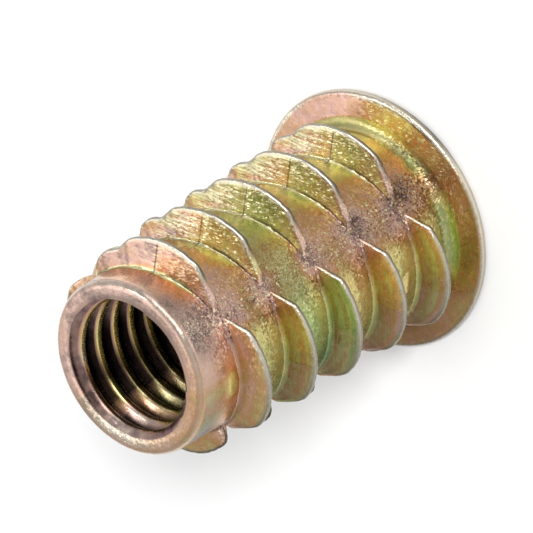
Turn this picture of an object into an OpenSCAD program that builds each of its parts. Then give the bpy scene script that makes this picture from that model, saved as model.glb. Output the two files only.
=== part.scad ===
// Hex-drive wood insert nut, die cast in one piece from zinc alloy.
// It stands on its flange: the drive socket opens downwards in the flange face,
// the threaded bore runs up to the tip, and a coarse wood thread winds round the body.
// The die has four slides, so the wood thread is a row of lobes, one lobe to a slide,
// that fall to the body at each of the four parting lines.
// All sizes are in millimetres.

/* [Overall] */
// Length from the flange face to the tip face
length = 20; // [16:0.5:30]

/* [Flange] */
// Diameter of the flange over its rim
flange_d = 14.1; // [13.6:0.1:18]
// Thickness of the flange at its rim
flange_t = 0.6; // [0.6:0.05:1.2]
// Radius of the rim's shoulder on the flange's back
rim_back_r = 0.22; // [0.1:0.02:0.22]
// Radius of the rim's wider shoulder at the flange's face
rim_face_r = 0.36; // [0.2:0.02:0.36]
// Rise of the flange's back from the rim to the body's fillet
flange_rise = 0.1; // [0:0.02:0.3]
// Radius of the fillet between the flange's back and the body
flange_fillet = 0.55; // [0.2:0.05:0.8]

/* [Body] */
// Body diameter at the flange, between the turns of the wood thread
body_base_d = 10.3; // [10.1:0.05:11]
// Body diameter at the tip
body_tip_d = 9.3; // [9.2:0.05:10]
// Radius of the rounded outer edge of the tip
tip_edge_r = 0.4; // [0.1:0.05:0.5]

/* [Wood thread] */
// Rise of the wood thread in one turn, right-handed
wood_pitch = 3.46; // [3:0.05:5]
// Crest diameter of the wood thread, carried down to the flange face
crest_base_d = 13.78; // [13:0.05:14.5]
// Crest diameter of the wood thread, carried up to the tip face
crest_tip_d = 12.54; // [12:0.05:13.2]
// Width of the blunt crest
crest_w = 0.26; // [0.15:0.02:0.5]
// Slope of the steep flank that faces the tip, in degrees
tip_flank_a = 10; // [5:1:20]
// Slope of the flank that faces the flange, in degrees
flange_flank_a = 27; // [15:1:32]
// Height of the thread's first lobe above the flange's face, where it begins
thread_start_z = 1.71; // [1.6:0.05:3]
// Least length left bare between the last whole lobe and the tip face
thread_end_gap = 1.6; // [1.4:0.1:4]
// Length over which the thread's crest sinks to its end, in degrees
fade_length = 82; // [40:1:90]
// Length of the stub that follows the last whole lobe, in degrees
stub_length = 36; // [20:1:45]

/* [Die slides] */
// Angles of the four parting lines round the body, in degrees from the front
parting_lines = [0, 94, 180, 267];
// Shift of each slide's lobes along the axis, where the slides don't quite meet
slide_shifts = [0, 0, -0.14, -0.14];
// Radius of the arc that each lobe's crest follows, centred off the axis
crest_arc_r = 4.2; // [3.8:0.05:5]
// Distance from each slide's middle plane to the short ramp that ends its lobes
ramp_offsets = [3.55, 3.3, 3.5, 3.1];
// Slant of the short ramp away from the draw, as a share
ramp_draft = 0.1; // [0:0.01:0.2]
// Slant of the long ramp away from the draw, as a share
ramp_slope = 0.49; // [0.3:0.01:0.6]
// Reach of the long ramp, as a share of the body's radius
ramp_reach = 1.1; // [1.05:0.01:1.2]

/* [Machine thread bore] */
// Diameter of the bore at the machine thread's crests, for an M8 screw
bore_d = 6.8; // [6.4:0.1:7]
// Diameter of the chamfer at the tip face
chamfer_d = 7.44; // [7.2:0.02:8]

/* [Drive socket] */
// Width across the flats of the hexagonal socket
hex_af = 8; // [7.6:0.1:8.2]
// Depth of the socket from the flange face
hex_depth = 5.5; // [3:0.5:8]

/* [Hidden] */
$fn = 96;
// Number of slides, which is the number of lobes in one turn
slides = len(parting_lines);
// Turn angle from the front at which the thread begins, on the third parting line
first_line = 2;
// Depth to which the thread is carried into the body, so that the two fuse
embed_r = 4.2;
// Depth of a parting line's notch below the body, so that each lobe ends in the body
notch_sink = 0.25;
// Length over which a lobe's ends rise out of the notch, in degrees
notch_a = 4;
// Stations along a lobe between its two ends
lobe_steps = 14;
// Straight steps in each quarter of a rounded corner
arc_steps = 5;
// Length by which each cutter runs past the face that it opens
overrun = 1;
// Flare of the thread's foot on the side of the tip
foot_flare = 0.22;
// Overlap of the crest's rounding, as a share of the thread's height
crest_round = 0.035;

// Straight run of a value from the flange face to the tip face
function along(base, tip, z) = base + (tip - base) * z / length;
function body_r(z) = along(body_base_d, body_tip_d, z) / 2;
function crest_r(z) = along(crest_base_d, crest_tip_d, z) / 2;

// Turn angle of the k-th parting line that the thread meets, counted from its start
function line_a(k) =
    360 * (floor((k + first_line) / slides) - 1) + parting_lines[(k + first_line) % slides];
// Height of the thread's crest at a turn angle
function thread_z(a) = thread_start_z + wood_pitch * (a - line_a(0)) / 360;
// Number of whole lobes that fit below the bare stretch at the tip
max_lobes = ceil(slides * length / wood_pitch);
lobes = len([for (k = [1:max_lobes]) if (thread_z(line_a(k)) <= length - thread_end_gap) k]);

// Points of an arc about centre c, from angle a0 to angle a1
function arc(c, r, a0, a1) =
    [for (i = [0:arc_steps]) let (a = a0 + (a1 - a0) * i / arc_steps)
        [c[0] + r * cos(a), c[1] + r * sin(a)]];

// Angles along one lobe, counted from its start, for a lobe that spans s degrees
function stations(s) = concat(
    [0, notch_a / 2], [for (i = [0:lobe_steps]) notch_a + (s - 2 * notch_a) * i / lobe_steps]);

// Crest radius at t degrees into a lobe that spans s degrees, at height z, for slide n:
// an arc that is nearest the axis at its ends, cut by a slanting ramp at the lower end
// and by a ramp along the draw at the upper end, and sunk into the notch at both
function lobe_r(t, s, z, n) =
    let (off = t - s / 2,
         centre = crest_r(z) - crest_arc_r,
         arch = centre * cos(off) + sqrt(pow(crest_arc_r, 2) - pow(centre * sin(off), 2)),
         down = max(0.3, ramp_slope * cos(off) - sin(off)),
         side = max(0.25, sin(off) + ramp_draft * cos(off)),
         edge = min(arch, ramp_reach * body_r(z) / down,
                    (ramp_offsets[n] + ramp_draft * body_r(z)) / side),
         foot = body_r(z) - notch_sink,
         rise = max(0, min(1, t / notch_a, (s - t) / notch_a)))
    foot + (edge - foot) * rise;

// Share of the thread's height left at turn angle a, where it sinks towards its end
function fade(a) = pow(max(0, min(1, (line_a(lobes) + stub_length - a) / fade_length)), 0.4);

// One section of the thread at turn angle a and height z with its crest at radius r:
// the foot towards the tip, the steep flank, the blunt crest and the long flank
function section(a, z, r) =
    let (h = r - embed_r,
         up = crest_w / 2,
         tip_run = h * tan(tip_flank_a),
         flange_run = h * tan(flange_flank_a),
         points = [[embed_r, z + up + tip_run + foot_flare],
                   [embed_r + 0.45 * h, z + up + 0.55 * tip_run],
                   [r - crest_round * h, z + up],
                   [r, z],
                   [r - crest_round * h, z - up],
                   [embed_r, z - up - flange_run]])
    [for (p = points) [p[0] * cos(a - 90), p[0] * sin(a - 90), p[1]]];

// Half section of the solid body with its flange, as [radius, height] points
function body_outline() =
    let (rim = flange_d / 2,
         back_z = flange_t + flange_rise,
         fillet_z = back_z + flange_fillet,
         fillet_c = [body_r(fillet_z) + flange_fillet, fillet_z],
         edge_z = length - tip_edge_r,
         edge_c = [body_r(edge_z) - tip_edge_r, edge_z])
    concat([[0, 0]],
           arc([rim - rim_face_r, rim_face_r], rim_face_r, -90, 0),
           arc([rim - rim_back_r, flange_t - rim_back_r], rim_back_r, 0, 90),
           arc(fillet_c, flange_fillet, -90, -180),
           arc(edge_c, tip_edge_r, 0, 90),
           [[0, length]]);

// The body and its flange, as if they were solid
module blank() {
    rotate_extrude() polygon(body_outline());
}

// The wood thread: one swept ridge that sinks into the body at every parting line
module wood_thread() {
    end_a = line_a(lobes) + stub_length;
    turns = concat(
        [for (k = [0:lobes]) let (s = line_a(k + 1) - line_a(k), n = (k + first_line) % slides)
            for (t = stations(s)) if (k < lobes || t < stub_length)
                let (a = line_a(k) + t, z = thread_z(a) + slide_shifts[n],
                     foot = body_r(z) - notch_sink)
                section(a, z, foot + (lobe_r(t, s, z, n) - foot) * fade(a))],
        [section(end_a, thread_z(end_a), body_r(thread_z(end_a)) - notch_sink)]);
    rings = len(turns);
    sides = len(turns[0]);
    first_cap = [[for (j = [0:sides - 1]) j]];
    last_cap = [[for (j = [sides - 1:-1:0]) (rings - 1) * sides + j]];
    walls = [for (i = [0:rings - 2], j = [0:sides - 1])
        let (p = i * sides + j, q = i * sides + (j + 1) % sides)
            each [[p, p + sides, q], [q, p + sides, q + sides]]];
    polyhedron([for (ring = turns, p = ring) p], concat(first_cap, walls, last_cap), 10);
}

// The bore, from the bottom of the socket to its chamfer in the tip face
module bore() {
    chamfer_h = (chamfer_d - bore_d) / 2;
    translate([0, 0, hex_depth - overrun]) cylinder(h = length - hex_depth + 2 * overrun, d = bore_d);
    translate([0, 0, length - chamfer_h])
        cylinder(h = chamfer_h + overrun, d1 = bore_d, d2 = chamfer_d + 2 * overrun);
}

// The drive socket, a plain hexagonal hole in the flange face
module drive_socket() {
    translate([0, 0, -overrun]) cylinder(h = hex_depth + overrun, d = hex_af / cos(30), $fn = 6);
}

module threaded_insert() {
    color("darkkhaki") difference() {
        union() {
            blank();
            wood_thread();
        }
        bore();
        drive_socket();
    }
}

threaded_insert();
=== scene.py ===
"""Looks of a die-cast insert nut for wood: its skin, its finish, its light and its camera.

The insert stands on its flange at the origin, with its thread axis along +Z. Sizes inside
the classes are in millimetres; meshes, lamps and the camera are placed in metres.
"""

import logging
import math
from dataclasses import dataclass, field
from enum import Enum
from functools import cached_property

import bpy
import numpy as np
from mathutils import Matrix, Vector


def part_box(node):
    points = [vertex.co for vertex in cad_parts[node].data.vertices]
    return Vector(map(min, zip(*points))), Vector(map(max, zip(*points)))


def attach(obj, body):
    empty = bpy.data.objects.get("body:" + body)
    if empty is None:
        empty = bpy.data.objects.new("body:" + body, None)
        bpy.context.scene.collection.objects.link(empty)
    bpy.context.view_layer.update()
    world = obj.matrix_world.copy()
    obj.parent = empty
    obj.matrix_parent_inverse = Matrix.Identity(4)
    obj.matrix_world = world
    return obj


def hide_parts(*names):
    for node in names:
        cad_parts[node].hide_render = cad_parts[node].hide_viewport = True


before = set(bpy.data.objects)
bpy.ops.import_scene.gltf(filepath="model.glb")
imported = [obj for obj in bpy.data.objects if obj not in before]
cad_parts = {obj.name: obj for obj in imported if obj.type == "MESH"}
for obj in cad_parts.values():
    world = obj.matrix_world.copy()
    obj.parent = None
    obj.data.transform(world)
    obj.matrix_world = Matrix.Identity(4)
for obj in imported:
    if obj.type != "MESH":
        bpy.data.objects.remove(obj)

NODE = "threaded_insert"
BODY = "root"
MM = 0.001
# Steps in a millimetre to which places are rounded before equal ones are merged
WELD_STEPS = 2e4
# Angle between faces past which an edge is shaded sharp, in degrees
SHARP_ANGLE = 50.0
# Height at which the lamps point, in millimetres
LIT_HEIGHT = 10.0

Socket = bpy.types.NodeSocket
Tree = bpy.types.NodeTree
log = logging.getLogger("insert")


# ---- Small numeric helpers ----


def smooth(low: float, high: float, x: np.ndarray) -> np.ndarray:
    """Ease from 0 at low to 1 at high along the cubic 3t^2 - 2t^3."""
    t = np.clip((x - low) / (high - low), 0.0, 1.0)
    return t * t * (3.0 - 2.0 * t)


def mix(a: np.ndarray, b: np.ndarray, share: np.ndarray) -> np.ndarray:
    """The value that lies a share of the way from a to b."""
    return a + (b - a) * share


def bump_at(centre: float, width: float, x: np.ndarray) -> np.ndarray:
    """A bell of height 1 at centre, exp(-((x - centre) / width)^2)."""
    return np.exp(-(((x - centre) / width) ** 2))


def ease_min(a: np.ndarray, b: np.ndarray, ease: np.ndarray) -> np.ndarray:
    """The smaller of two values with the corner between them rounded over the ease."""
    share = np.clip(0.5 + 0.5 * (b - a) / ease, 0.0, 1.0)
    return b + (a - b) * share - ease * share * (1.0 - share)


def value_noise(points: np.ndarray, cell: float, seed: int) -> np.ndarray:
    """Smooth random values over space.

    Space is cut into cubes of the cell's size, each corner gets a value hashed from its
    place, and a point takes the eased mean of its cube's eight corners.

    Args:
        points: Places in millimetres, with x, y and z along the last axis.
        cell: Size of a cube in millimetres.
        seed: Chooses the pattern.

    Returns:
        One value from -1 to 1 for each point.
    """
    scaled = points / cell
    corner = np.floor(scaled).astype(np.int64)
    part = scaled - corner
    part = part * part * (3.0 - 2.0 * part)
    total = np.zeros(points.shape[:-1])
    for dx in (0, 1):
        for dy in (0, 1):
            for dz in (0, 1):
                # Large odd factors and shifts spread the corner's place evenly
                key = (corner[..., 0] + dx) * 73856093
                key = key ^ ((corner[..., 1] + dy) * 19349663)
                key = key ^ ((corner[..., 2] + dz) * 83492791)
                key = (key ^ (seed * 2654435761)) & 0xFFFFFFFF
                key = ((key ^ (key >> 15)) * 2246822519) & 0xFFFFFFFF
                key = ((key ^ (key >> 13)) * 3266489917) & 0xFFFFFFFF
                value = ((key ^ (key >> 16)) & 0xFFFF) / 32767.5 - 1.0
                weight = np.where(dx, part[..., 0], 1.0 - part[..., 0])
                weight = weight * np.where(dy, part[..., 1], 1.0 - part[..., 1])
                weight = weight * np.where(dz, part[..., 2], 1.0 - part[..., 2])
                total += value * weight
    return total


def along_arc(share: np.ndarray, radius: float, cell: float, seed: int) -> np.ndarray:
    """Value noise along an arc: one value for each turn of share at a radius."""
    zero = np.zeros_like(share)
    return value_noise(np.stack([share * 2.0 * math.pi * radius, zero, zero], axis=-1), cell, seed)


def rounded(
    before: np.ndarray, corner: np.ndarray, after: np.ndarray, cut: float | np.ndarray, steps: int
) -> np.ndarray:
    """Round a corner of a profile with a quadratic curve.

    The curve starts on the edge from before to corner, ends on the edge from corner to
    after, a cut's length from the corner but never past 0.45 of an edge, and is drawn
    towards the corner: (1-s)^2 A + 2 s (1-s) C + s^2 B.

    Args:
        before: Point before the corner, with its two coordinates along the first axis.
        corner: The corner, in the same form.
        after: Point after the corner, in the same form.
        cut: Length of edge that the rounding takes, in millimetres, for all or for each column.
        steps: Number of straight steps in the curve.

    Returns:
        Array of steps + 1 points, stacked before the two coordinates.
    """
    back, ahead = before - corner, after - corner
    back_len = np.sqrt((back**2).sum(0)) + 1e-9
    ahead_len = np.sqrt((ahead**2).sum(0)) + 1e-9
    start = corner + back * np.minimum(cut / back_len, 0.45)
    end = corner + ahead * np.minimum(cut / ahead_len, 0.45)
    curve = []
    for s in np.linspace(0.0, 1.0, steps + 1):
        curve.append((1 - s) ** 2 * start + 2 * s * (1 - s) * corner + s**2 * end)
    return np.stack(curve)


def arc(centre: tuple, radius: float, first: float, last: float, steps: int) -> np.ndarray:
    """Points on a circle, as rows of (radius, height), from angle first to last in degrees."""
    turn = np.radians(np.linspace(first, last, steps + 1))
    return np.stack([centre[0] + radius * np.cos(turn), centre[1] + radius * np.sin(turn)], axis=1)


# ---- The casting's skin ----


class Mark(Enum):
    """A value that each vertex carries for the finish to read."""

    FILM = "film"
    WEAR = "wear"
    GRAIN = "grain"
    STRIPE = "stripe"
    # Painted light and shade: the share of light left at each vertex, multiplied into the colour
    SHADE = "shade"
    ALONG = "along"
    DRAW = "draw"


class Slide(Enum):
    """A slide of the die, by its number from the thread's beginning."""

    BOTTOM = 0
    RIGHT = 1
    LEFT = 2
    BACK = 3


class Turn(Enum):
    """A turn of the wood thread, in order from the flange."""

    FLANGE = 0
    SECOND = 1
    MIDDLE = 2
    FOURTH = 3
    TIP = 4


class Hue(Enum):
    """A value of the film, by the colour that it gives."""

    ROSE = 0.2
    GOLD = 0.43
    STRAW = 0.55
    YELLOW = 0.62
    LIME = 0.7
    OLIVE = 0.92


class Band(Enum):
    """A strip of the wood thread's profile, in order from the flange's side."""

    GROOVE_BELOW = 0
    FLANGE_FLANK = 1
    LOW_EDGE = 2
    CREST = 3
    TIP_FLANK = 4
    ROOT = 5
    GROOVE_ABOVE = 6


@dataclass
class Patch:
    """A band of rows that run once round the insert.

    Attributes:
        radius: Distance from the axis in millimetres, one row of columns per ring.
        height: Height above the flange face in millimetres, in the same form.
        marks: Value of each mark per vertex, in the same form.
        halved: Whether every other column merges with its neighbour past the first row.
    """

    radius: np.ndarray
    height: np.ndarray
    marks: dict = field(default_factory=dict)
    halved: bool = False

    def marked(self, marks: dict) -> "Patch":
        """Keep the marks, each spread over the whole patch.

        Args:
            marks: Value of each mark, in any shape that spreads over the patch.

        Returns:
            The patch itself.
        """
        for mark, value in marks.items():
            self.marks[mark] = np.broadcast_to(value, self.radius.shape)
        return self

    def read(self, mark: Mark) -> np.ndarray:
        """A mark's values: 0 where the patch has none."""
        return self.marks.get(mark, np.zeros_like(self.radius))


@dataclass(frozen=True)
class Sides:
    """Angles round the insert, one column of vertices each.

    Attributes:
        columns: Number of columns, a multiple of 6 so that the socket's corners fall on one.
        seam: Angle of the first column in degrees, where the wood thread begins.
    """

    columns: int = 324
    seam: float = 90.0

    @property
    def share(self) -> np.ndarray:
        """Share of a turn at each column, from 0 to 1."""
        return np.linspace(0.0, 1.0, self.columns + 1)

    @property
    def angle(self) -> np.ndarray:
        """Angle of each column in radians, counter-clockwise from +X."""
        return np.radians(self.seam) + 2.0 * np.pi * np.mod(self.share, 1.0)

    @property
    def from_front(self) -> np.ndarray:
        """Angle of each column from the front parting line, from -180 to 180 degrees."""
        return 360.0 * self.share - 180.0

    def ring(self, profile: np.ndarray) -> Patch:
        """Carry a profile of (radius, height) rows round the axis."""
        ones = np.ones((1, self.columns + 1))
        return Patch(profile[:, :1] * ones, profile[:, 1:] * ones)


@dataclass(frozen=True)
class WoodThread:
    """The coarse outer thread: one right-hand ridge of domed lobes between parting lines.

    Attributes:
        pitch: Rise in one turn.
        start_z: Height of the crest at the thread's beginning.
        turns: Number of turns from its beginning to its end, a stub past a parting line.
        fade: Length in turns over which the crest sinks to that end.
        fade_power: Power of the share of that length that is still left.
        crest_base_r: Crest radius carried down to the flange face.
        crest_tip_r: Crest radius carried up to the tip face.
        core_base_r: Radius between the turns, at the flange face.
        core_tip_r: Radius between the turns, at the tip face.
        length: Length of the insert, over which the two radii run.
        partings: Parting lines as shares of a turn from the thread's beginning.
        arc_r: Radius of the arc that a lobe's crest follows, centred off the axis.
        ramp_slope: Slant of the ramp at a lobe's lower end away from the draw, as a share.
        ramp_reach: Reach of that ramp as a share of the body's radius, for each slide.
        ramp_ease: Rounding where that ramp meets the crest, for each slide.
        ramp_offset: Distance from the slide's middle plane to the ramp at the upper end.
        ramp_draft: Slant of the ramp at the upper end away from the draw, as a share.
        short_ease: Rounding where the ramp at the upper end meets the crest.
        lead_in: Degrees past a lobe's lower end between which it rises.
        lead_out: Degrees before its upper end between which it falls.
        dip: Depth of the dip where the cutter left the crest, for each slide.
        dip_at: Place of the dip in degrees past the middle of a lobe.
        dip_width: Half the length of the dip in degrees.
        land: Width of the crest over most of a lobe.
        long_land: Width of the crest on the long ramp, for each slide.
        short_land: Width of the crest at the end of the short ramp.
        tip_flank: Slope of the flank that faces the tip, in degrees.
        flange_flank: Slope of the flank that faces the flange, in degrees.
        slide_offset: Drop of the lobes of the two slides whose halves sit low.
        foot_cut: Rounding of the foot on the tip's side, for each slide.
        groove_split: Share of the pitch from a crest up to the middle of the next groove.
        nick: Depth of the small nicks in the crest.
        nick_cell: Length of crest between nicks.
    """

    pitch: float = 3.46
    start_z: float = 1.71
    turns: float = 4.0 + 310.0 / 360.0
    fade: float = 82.0 / 360.0
    fade_power: float = 0.4
    crest_base_r: float = 6.89
    crest_tip_r: float = 6.27
    core_base_r: float = 5.15
    core_tip_r: float = 4.65
    length: float = 20.0
    partings: tuple = (0.0, 87.0 / 360.0, 0.5, 274.0 / 360.0, 1.0)
    arc_r: float = 4.2
    ramp_slope: float = 0.49
    ramp_reach: tuple = (1.1, 1.112, 1.092, 1.1)
    ramp_ease: tuple = (0.2, 0.3, 0.12, 0.2)
    ramp_offset: tuple = (3.5, 3.1, 3.55, 3.3)
    ramp_draft: float = 0.1
    short_ease: float = 0.06
    lead_in: tuple = (0.3, 7.0)
    lead_out: tuple = (0.3, 3.5)
    dip: tuple = (0.0, 0.0, 0.3, 0.0)
    dip_at: float = 24.0
    dip_width: float = 5.5
    land: float = 0.24
    long_land: tuple = (0.34, 0.26, 0.42, 0.34)
    short_land: float = 0.12
    tip_flank: float = 10.0
    flange_flank: float = 27.0
    slide_offset: float = 0.14
    foot_cut: tuple = (0.14, 0.14, 0.08, 0.1)
    groove_split: float = 0.38
    nick: float = 0.022
    nick_cell: float = 0.28

    @property
    def bands(self) -> np.ndarray:
        """The band of each row of the profile, by number.

        Returns:
            Numbers from Band, one for each row.
        """
        rows = {
            Band.GROOVE_BELOW: 4,
            Band.FLANGE_FLANK: 7,
            Band.LOW_EDGE: 4,
            Band.CREST: 5,
            Band.TIP_FLANK: 8,
            Band.ROOT: 4,
            Band.GROOVE_ABOVE: 4,
        }
        return np.repeat([band.value for band in rows], list(rows.values()))

    def core(self, z: np.ndarray) -> np.ndarray:
        """Radius of the tapering body at height z."""
        return mix(self.core_base_r, self.core_tip_r, z / self.length)

    def centre(self, turn: np.ndarray) -> np.ndarray:
        """Height of the crest at a turn: a steady rise, less the offset of the low slides.

        Args:
            turn: Turns from the thread's beginning.

        Returns:
            Height above the flange face.
        """
        share = np.mod(turn, 1.0)
        low = smooth(0.0, 0.006, share) * smooth(0.5, 0.494, share)
        return self.start_z + self.pitch * turn - self.slide_offset * low

    def slide(self, turn: np.ndarray) -> np.ndarray:
        """Number of the slide that forms the lobe at a turn, from 0 to 3.

        Args:
            turn: Turns from the thread's beginning.

        Returns:
            Number from Slide.
        """
        edges = np.array(self.partings)
        place = np.searchsorted(edges, np.mod(turn, 1.0), side="right") - 1
        return np.clip(place, 0, len(edges) - 2)

    def lobe(self, turn: np.ndarray) -> tuple:
        """Place within a lobe.

        Args:
            turn: Turns from the thread's beginning.

        Returns:
            Degrees from the lobe's lower end, and degrees that the lobe spans.
        """
        edges = np.array(self.partings)
        index = self.slide(turn)
        at = (np.mod(turn, 1.0) - edges[index]) * 360.0
        return at, (edges[index + 1] - edges[index]) * 360.0

    def crest(self, turn: np.ndarray) -> np.ndarray:
        """Height of the crest above the body.

        Seen along the axis, a lobe is bounded by three lines of its die slide: an arc whose
        centre lies off the axis towards the slide, a slanting ramp at its lower end and a
        ramp along the slide's draw at its upper end. The nearest of the three counts, and
        the two corners between them are eased.

        Args:
            turn: Turns from the thread's beginning.

        Returns:
            Height in millimetres, 0 before and past the thread.
        """
        at, span = self.lobe(turn)
        off = np.radians(at - span / 2.0)
        z = self.start_z + self.pitch * turn
        core = self.core(z)
        centre = mix(self.crest_base_r, self.crest_tip_r, z / self.length) - self.arc_r
        arch = centre * np.cos(off) + np.sqrt(self.arc_r**2 - (centre * np.sin(off)) ** 2)
        index = self.slide(turn)
        down = np.maximum(self.ramp_slope * np.cos(off) - np.sin(off), 0.3)
        long_side = np.array(self.ramp_reach)[index] * core / down
        side = np.maximum(np.sin(off) + self.ramp_draft * np.cos(off), 0.25)
        short_side = (np.array(self.ramp_offset)[index] + self.ramp_draft * core) / side
        radius = ease_min(arch, long_side, np.array(self.ramp_ease)[index])
        radius = ease_min(radius, short_side, self.short_ease)
        dip = np.array(self.dip)[index] * bump_at(self.dip_at, self.dip_width, np.degrees(off))
        nicks = self.nick * along_arc(turn, self.crest_base_r, self.nick_cell, 5)
        tall = np.maximum(radius - dip - core - np.maximum(nicks, -0.3 * self.nick), 0.0)
        lead = smooth(*self.lead_in, at) * smooth(*self.lead_out, span - at)
        fade = np.clip((self.turns - turn) / self.fade, 0.0, 1.0) ** self.fade_power
        return np.where(turn > 0.0, tall * lead * fade, 0.0)

    def crest_land(self, turn: np.ndarray) -> np.ndarray:
        """Width of the crest: broad on the long ramp, narrow where the short ramp ends.

        Args:
            turn: Turns from the thread's beginning.

        Returns:
            Width in millimetres.
        """
        at, span = self.lobe(turn)
        wide = smooth(27.0, 4.0, at)
        thin = smooth(15.0, 5.0, span - at)
        long_land = np.array(self.long_land)[self.slide(turn)]
        width = self.land + (long_land - self.land) * wide + (self.short_land - self.land) * thin
        return width * (1.0 + 0.12 * along_arc(turn, self.crest_base_r, self.nick_cell, 8))

    def section(self, turn: np.ndarray) -> tuple:
        """The thread's profile at each turn.

        The corners are the foot on the flange's side, the crest's two edges and the foot on
        the tip's side, joined by straight flanks and rounded. It runs from the middle of
        one groove to the middle of the next.

        Args:
            turn: Turns from the thread's beginning, in any shape.

        Returns:
            Heights from the crest and heights above the body, each with the rows first.
        """
        tall = self.crest(turn)
        half = self.crest_land(turn) / 2.0
        flange_run = tall * math.tan(math.radians(self.flange_flank))
        tip_run = tall * math.tan(math.radians(self.tip_flank))
        zero = np.zeros_like(tall)
        groove_low = np.stack([zero - (1.0 - self.groove_split) * self.pitch, zero])
        foot_low = np.stack([-half - flange_run, zero])
        crest_low = np.stack([-half, tall])
        crest_high = np.stack([half, tall])
        foot_high = np.stack([half + tip_run, zero])
        groove_high = np.stack([zero + self.groove_split * self.pitch, zero])
        low_foot = rounded(groove_low, foot_low, crest_low, 0.2, 3)
        low_edge = rounded(foot_low, crest_low, crest_high, 0.1, 3)
        high_edge = rounded(crest_low, crest_high, foot_high, 0.09, 4)
        foot_cut = np.array(self.foot_cut)[self.slide(turn)]
        high_foot = rounded(crest_high, foot_high, groove_high, foot_cut, 3)
        below = [mix(groove_low, low_foot[0], s) for s in (0.0, 0.25, 0.5, 0.75)]
        flank_low = [mix(low_foot[-1], low_edge[0], s) for s in (0.25, 0.5, 0.75)]
        flank_high = [mix(high_edge[-1], high_foot[0], s) for s in np.linspace(0.11, 0.89, 8)]
        above = [mix(high_foot[-1], groove_high, s) for s in (0.2, 0.4, 0.6, 0.8)]
        rows = [*below, *low_foot, *flank_low, *low_edge, *high_edge, *flank_high, *high_foot, *above]
        points = np.stack(rows)
        return points[:, 0], points[:, 1]


@dataclass(frozen=True)
class Places:
    """Where each vertex of the body lies on the wood thread, for the finish to read.

    Attributes:
        wood: The thread.
        turn: Turns from the thread's beginning, as turns by 1 by columns.
        up: Share of the way up the lobe, as turns by rows by columns.
        z: Height of each vertex, in the same form as up.
    """

    wood: WoodThread
    turn: np.ndarray
    up: np.ndarray
    z: np.ndarray

    @property
    def from_front(self) -> np.ndarray:
        """Angle from the front parting line in degrees."""
        return 360.0 * np.mod(self.turn, 1.0) - 180.0

    @property
    def band(self) -> np.ndarray:
        """Number of the profile's band."""
        return self.wood.bands[None, :, None]

    @property
    def index(self) -> np.ndarray:
        """Number of the turn, held inside the options of Turn."""
        return np.clip(np.floor(self.turn).astype(int), 0, len(Turn) - 1)

    @property
    def groove(self) -> np.ndarray:
        """Number of the groove: 0 between the flange and the first turn, 5 past the last."""
        above = np.where(self.band >= Band.TIP_FLANK.value, 1, 0)
        return np.clip(np.floor(self.turn).astype(int) + above, 0, len(Turn))

    @cached_property
    def tall(self) -> np.ndarray:
        """Height of the crest above the body."""
        return self.wood.crest(self.turn)

    @property
    def over_root(self) -> np.ndarray:
        """Whether the vertex lies in a groove, on the side of the lobe below it."""
        return np.isin(self.band, (Band.ROOT.value, Band.GROOVE_ABOVE.value))

    @property
    def tip_flank(self) -> np.ndarray:
        """Whether the vertex lies on a flank that faces the tip."""
        return (self.band == Band.TIP_FLANK.value) & (self.up > 0.02)

    @property
    def crest(self) -> np.ndarray:
        """Whether the vertex lies on a crest."""
        return (self.band == Band.CREST.value) & (self.up > 0.5)

    @property
    def from_root(self) -> np.ndarray:
        """Height above the foot of the lobe's tip flank."""
        run = self.tall * math.tan(math.radians(self.wood.tip_flank))
        return self.z - (self.wood.centre(self.turn) + self.wood.land / 2.0 + run)

    @cached_property
    def notch(self) -> np.ndarray:
        """Nearness to a parting line, exp(-(distance / reach)^2), wider at the front one.

        Returns:
            Share from 0 to 1.
        """
        at, span = self.wood.lobe(self.turn)
        reach = np.where(self.tip_flank, 9.0, mix(21.0, 16.0, smooth(3.0, 9.0, self.z)))
        near = np.exp(-((np.minimum(at, span - at) / reach) ** 2))
        front = bump_at(0.0, 26.0, self.from_front) * np.where(self.tip_flank, 0.15, 0.8)
        return np.maximum(near, front)

    @cached_property
    def burnt(self) -> np.ndarray:
        """Strength of the burnt spots where lobes meet at a parting line, most at the front.

        A spot lies half a pitch above the thread's beginning and at each pitch from there,
        and fades as exp(-(distance / size)^2); near the tip the spots run together.

        Returns:
            Share from 0 to 1.
        """
        pitch = self.wood.pitch
        meeting = (self.z - self.wood.start_z - pitch * 0.5) / pitch
        meeting = np.abs(meeting - np.round(meeting)) * pitch
        size = mix(1.5, 0.8, smooth(3.0, 12.0, self.z))
        spot = np.maximum(bump_at(0.0, size, meeting), smooth(15.2, 16.4, self.z))
        spot = self.notch * spot * mix(0.5, 1.0, bump_at(0.0, 60.0, self.from_front))
        return spot * np.where(self.tip_flank & self.on(Slide.LEFT), 0.35, 1.0)

    @cached_property
    def ramp(self) -> np.ndarray:
        """Strength of the bright ramp at the lower end of each lobe's crest."""
        at, _ = self.wood.lobe(self.turn)
        return smooth(22.0, 12.0, at) * (self.up > 0.75) * smooth(0.15, 0.5, self.tall)

    @cached_property
    def bead(self) -> np.ndarray:
        """Strength of the line of flash at the roots of the left lobes.

        Returns:
            Share from 0 to 1.
        """
        bead = (self.band == Band.ROOT.value) * self.on(Slide.LEFT)
        bead = bead * smooth(12.0, 24.0, self.from_front) * smooth(92.0, 84.0, self.from_front)
        return bead * smooth(0.2, 0.5, self.tall)

    def on(self, slide: Slide) -> np.ndarray:
        """Whether a slide forms the lobe there."""
        return self.wood.slide(self.turn) == slide.value


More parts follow.
